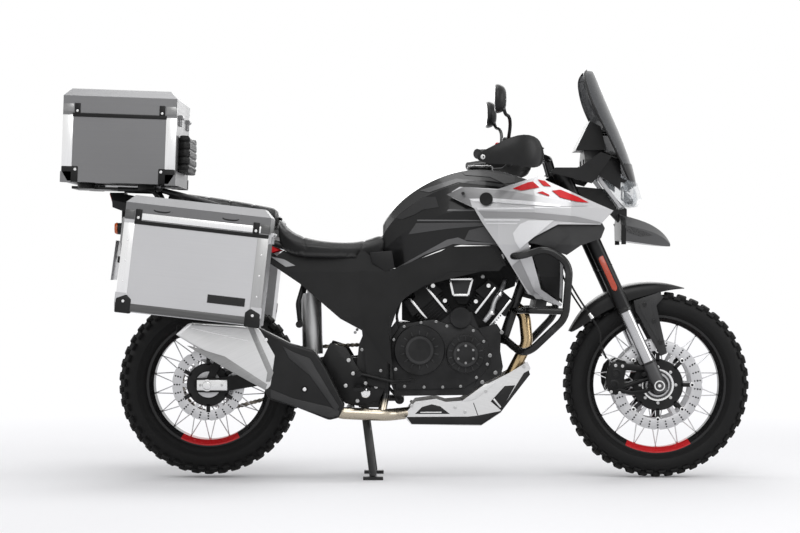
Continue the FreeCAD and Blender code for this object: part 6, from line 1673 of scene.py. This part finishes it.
cushion("rider_seat", "rider_seat_cover", "vinyl", .006, .007,
        seat_seams("rider_seat", ((.22, .3), (.8, -.2)), .104))
cushion("pillion_seat", "pillion_seat_cover", "vinyl", .006, .007,
        seat_seams("pillion_seat", ((.18, .1), (.38, .1), (.58, .1), (.78, .1)), .096))
pad_low, pad_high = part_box("backrest_pad")
cushion("backrest_pad", "backrest_cover", "pad_vinyl", .004, .006,
        [(Vector((0, 0, pad_low.z + (pad_high.z - pad_low.z) * share)), Z, .004, .004, lambda place: 1.0)
         for share in (.2, .4, .6, .8)])


def tail_dressing():
    """Tail lamp, signals, the blank plate with its lamp, and the rack's screws."""
    lens = sheet_on(((-.2232, .635), (-.2156, .61), (-.202, .6012), (-.199, .606), (-.212, .613),
                     (-.218, .635)), -.0495, .099, .003)
    fitted(lens, "tail_lamp_lens", "red_lens")
    tips = []
    for hand in (-1, 1):
        tip = side(-.186, .556, hand * .15)
        tips.append(turned_round([(.016, 0), (.016, .0195), (.019, .0205), (.026, .0175), (.0285, 0)], tip,
                                 32, -X, smooth=50))
        tips.append(turned_round([(.013, 0), (.013, .017), (.016, .0185), (.018, .015), (.019, 0)], tip, 32,
                                 X, smooth=50))
    fitted(joined(tips), "signal_lenses", "amber_lens")
    corners = [side(-.2046, .53, -.088), side(-.2046, .53, .088), side(-.2166, .442, .088),
               side(-.2166, .442, -.088)]
    fitted(plate(corners, (-.0016, 0, -.0002), .0006), "blank_plate", "pale_silver")
    heads = screws([side(-.206, .521, y) for y in (-.045, .045)], -X, .0042, .003)
    fitted(heads, "plate_screws", "dull_steel")
    strip_light = box((side(-.202, 0).x - .01, -.03, side(0, .544).z),
                      (side(-.196, 0).x, .03, side(0, .556).z), .003)
    fitted(strip_light, "plate_lamp", "dark_plastic")
    heads = screws([Vector((x, y, 1.0286)) for x in (-1.14, -.86) for y in (-.1, .1)], Z, .0075, .005)
    fitted(heads, "carrier_screws", "dull_steel")


def cockpit():
    """The instrument behind the screen, guessed."""
    block = sheet_on(((.842, .724), (.852, .73), (.87, .724), (.886, .702), (.886, .676), (.87, .672),
                      (.858, .69), (.85, .703)), -.06, .12, .005, 3)
    fitted(block, "instrument_housing", "dark_plastic")
    face = plate([side(.8414, .722, -.053), side(.8414, .722, .053), side(.8488, .705, .053),
                  side(.8488, .705, -.053)], (-.002, 0, -.001), .0006)
    fitted(face, "instrument_face", "gloss_black")


tail_dressing()
cockpit()


# Floor, light and camera

LAMPS = (                       # name, place, aim, size, power
    ("key", (.6, -3.4, 3.6), (0, 0, .6), 3.2, 80), ("top", (-.3, .2, 4.2), (0, 0, .6), 2.4, 60),
    ("front", (4.2, -1.2, 2.0), (.3, 0, .7), 2.0, 36), ("rear", (-4.2, 1.2, 2.2), (-.3, 0, .7), 2.0, 30),
    ("far", (.2, 4.0, 2.6), (0, 0, .6), 2.6, 50))
CAMERA = Vector((REAR_AXLE.x + .673, -8.0, .7457))
FOCAL, SENSOR = 101.4, 36
SEEN_BY = ("Is Camera Ray", "Is Glossy Ray", "Is Transmission Ray")


def pale_floor():
    """A pale floor under the machine that fades to white further out, where the camera sees it."""
    settle()
    bpy.ops.mesh.primitive_plane_add(size=60, location=(0, 0, 0))
    floor = bpy.context.object
    floor.name = "floor"
    f = Finish("pale_floor", Specular_IOR_Level=.1)
    x, y, _ = f.axes()
    grain = f.noise(40, 3)
    f.colour(f.mix(grain, shade(.86), shade(.89)))
    f.rough(.8 + grain * .1)
    path = f.node("ShaderNodeLightPath")
    camera, glossy, through = [Number(f, path.outputs[ray]) for ray in SEEN_BY]
    seen = camera.larger(glossy).larger(through)
    far = ((x * x + y * y) ** .5).above(2.6, 1.2)
    white = f.node("ShaderNodeEmission", None, {"Color": shade(1.0), "Strength": 1.0})
    mixed = f.node("ShaderNodeMixShader", None, {0: seen * (far * .88 + .12)})
    f.tree.links.new(f.shader.outputs[0], mixed.inputs[1])
    f.tree.links.new(white.outputs[0], mixed.inputs[2])
    f.tree.links.new(mixed.outputs[0], f.tree.nodes["Material Output"].inputs["Surface"])
    floor.data.materials.append(f.material)


def white_world():
    """A world that lights softly and is white wherever the camera sees it."""
    world = bpy.data.worlds.new("studio")
    bpy.context.scene.world = world
    world.use_nodes = True
    tree = world.node_tree
    back = tree.nodes["Background"]
    path = tree.nodes.new("ShaderNodeLightPath")
    seen = path.outputs[SEEN_BY[0]]
    for ray in SEEN_BY[1:]:
        either = tree.nodes.new("ShaderNodeMath")
        either.operation = "MAXIMUM"
        tree.links.new(seen, either.inputs[0])
        tree.links.new(path.outputs[ray], either.inputs[1])
        seen = either.outputs[0]
    level = tree.nodes.new("ShaderNodeMapRange")
    level.inputs["To Min"].default_value = .42
    level.inputs["To Max"].default_value = 1.0
    tree.links.new(seen, level.inputs["Value"])
    tree.links.new(level.outputs[0], back.inputs["Strength"])
    back.inputs["Color"].default_value = (1, 1, 1, 1)


def lamps_and_camera():
    for name, place, aim, size, power in LAMPS:
        settle()
        bpy.ops.object.light_add(type="AREA", location=place)
        area = bpy.context.object
        area.name = name + "_lamp"
        area.rotation_euler = (Vector(aim) - Vector(place)).to_track_quat("-Z", "Y").to_euler()
        area.data.size, area.data.energy = size, power
    settle()
    bpy.ops.object.camera_add(location=CAMERA, rotation=(math.radians(90), 0, 0))
    camera = bpy.context.object
    camera.data.lens, camera.data.sensor_width = FOCAL, SENSOR
    camera.data.clip_end = 100
    bpy.context.scene.camera = camera
    bpy.context.scene.view_settings.view_transform = "Standard"


pale_floor()
white_world()
lamps_and_camera()
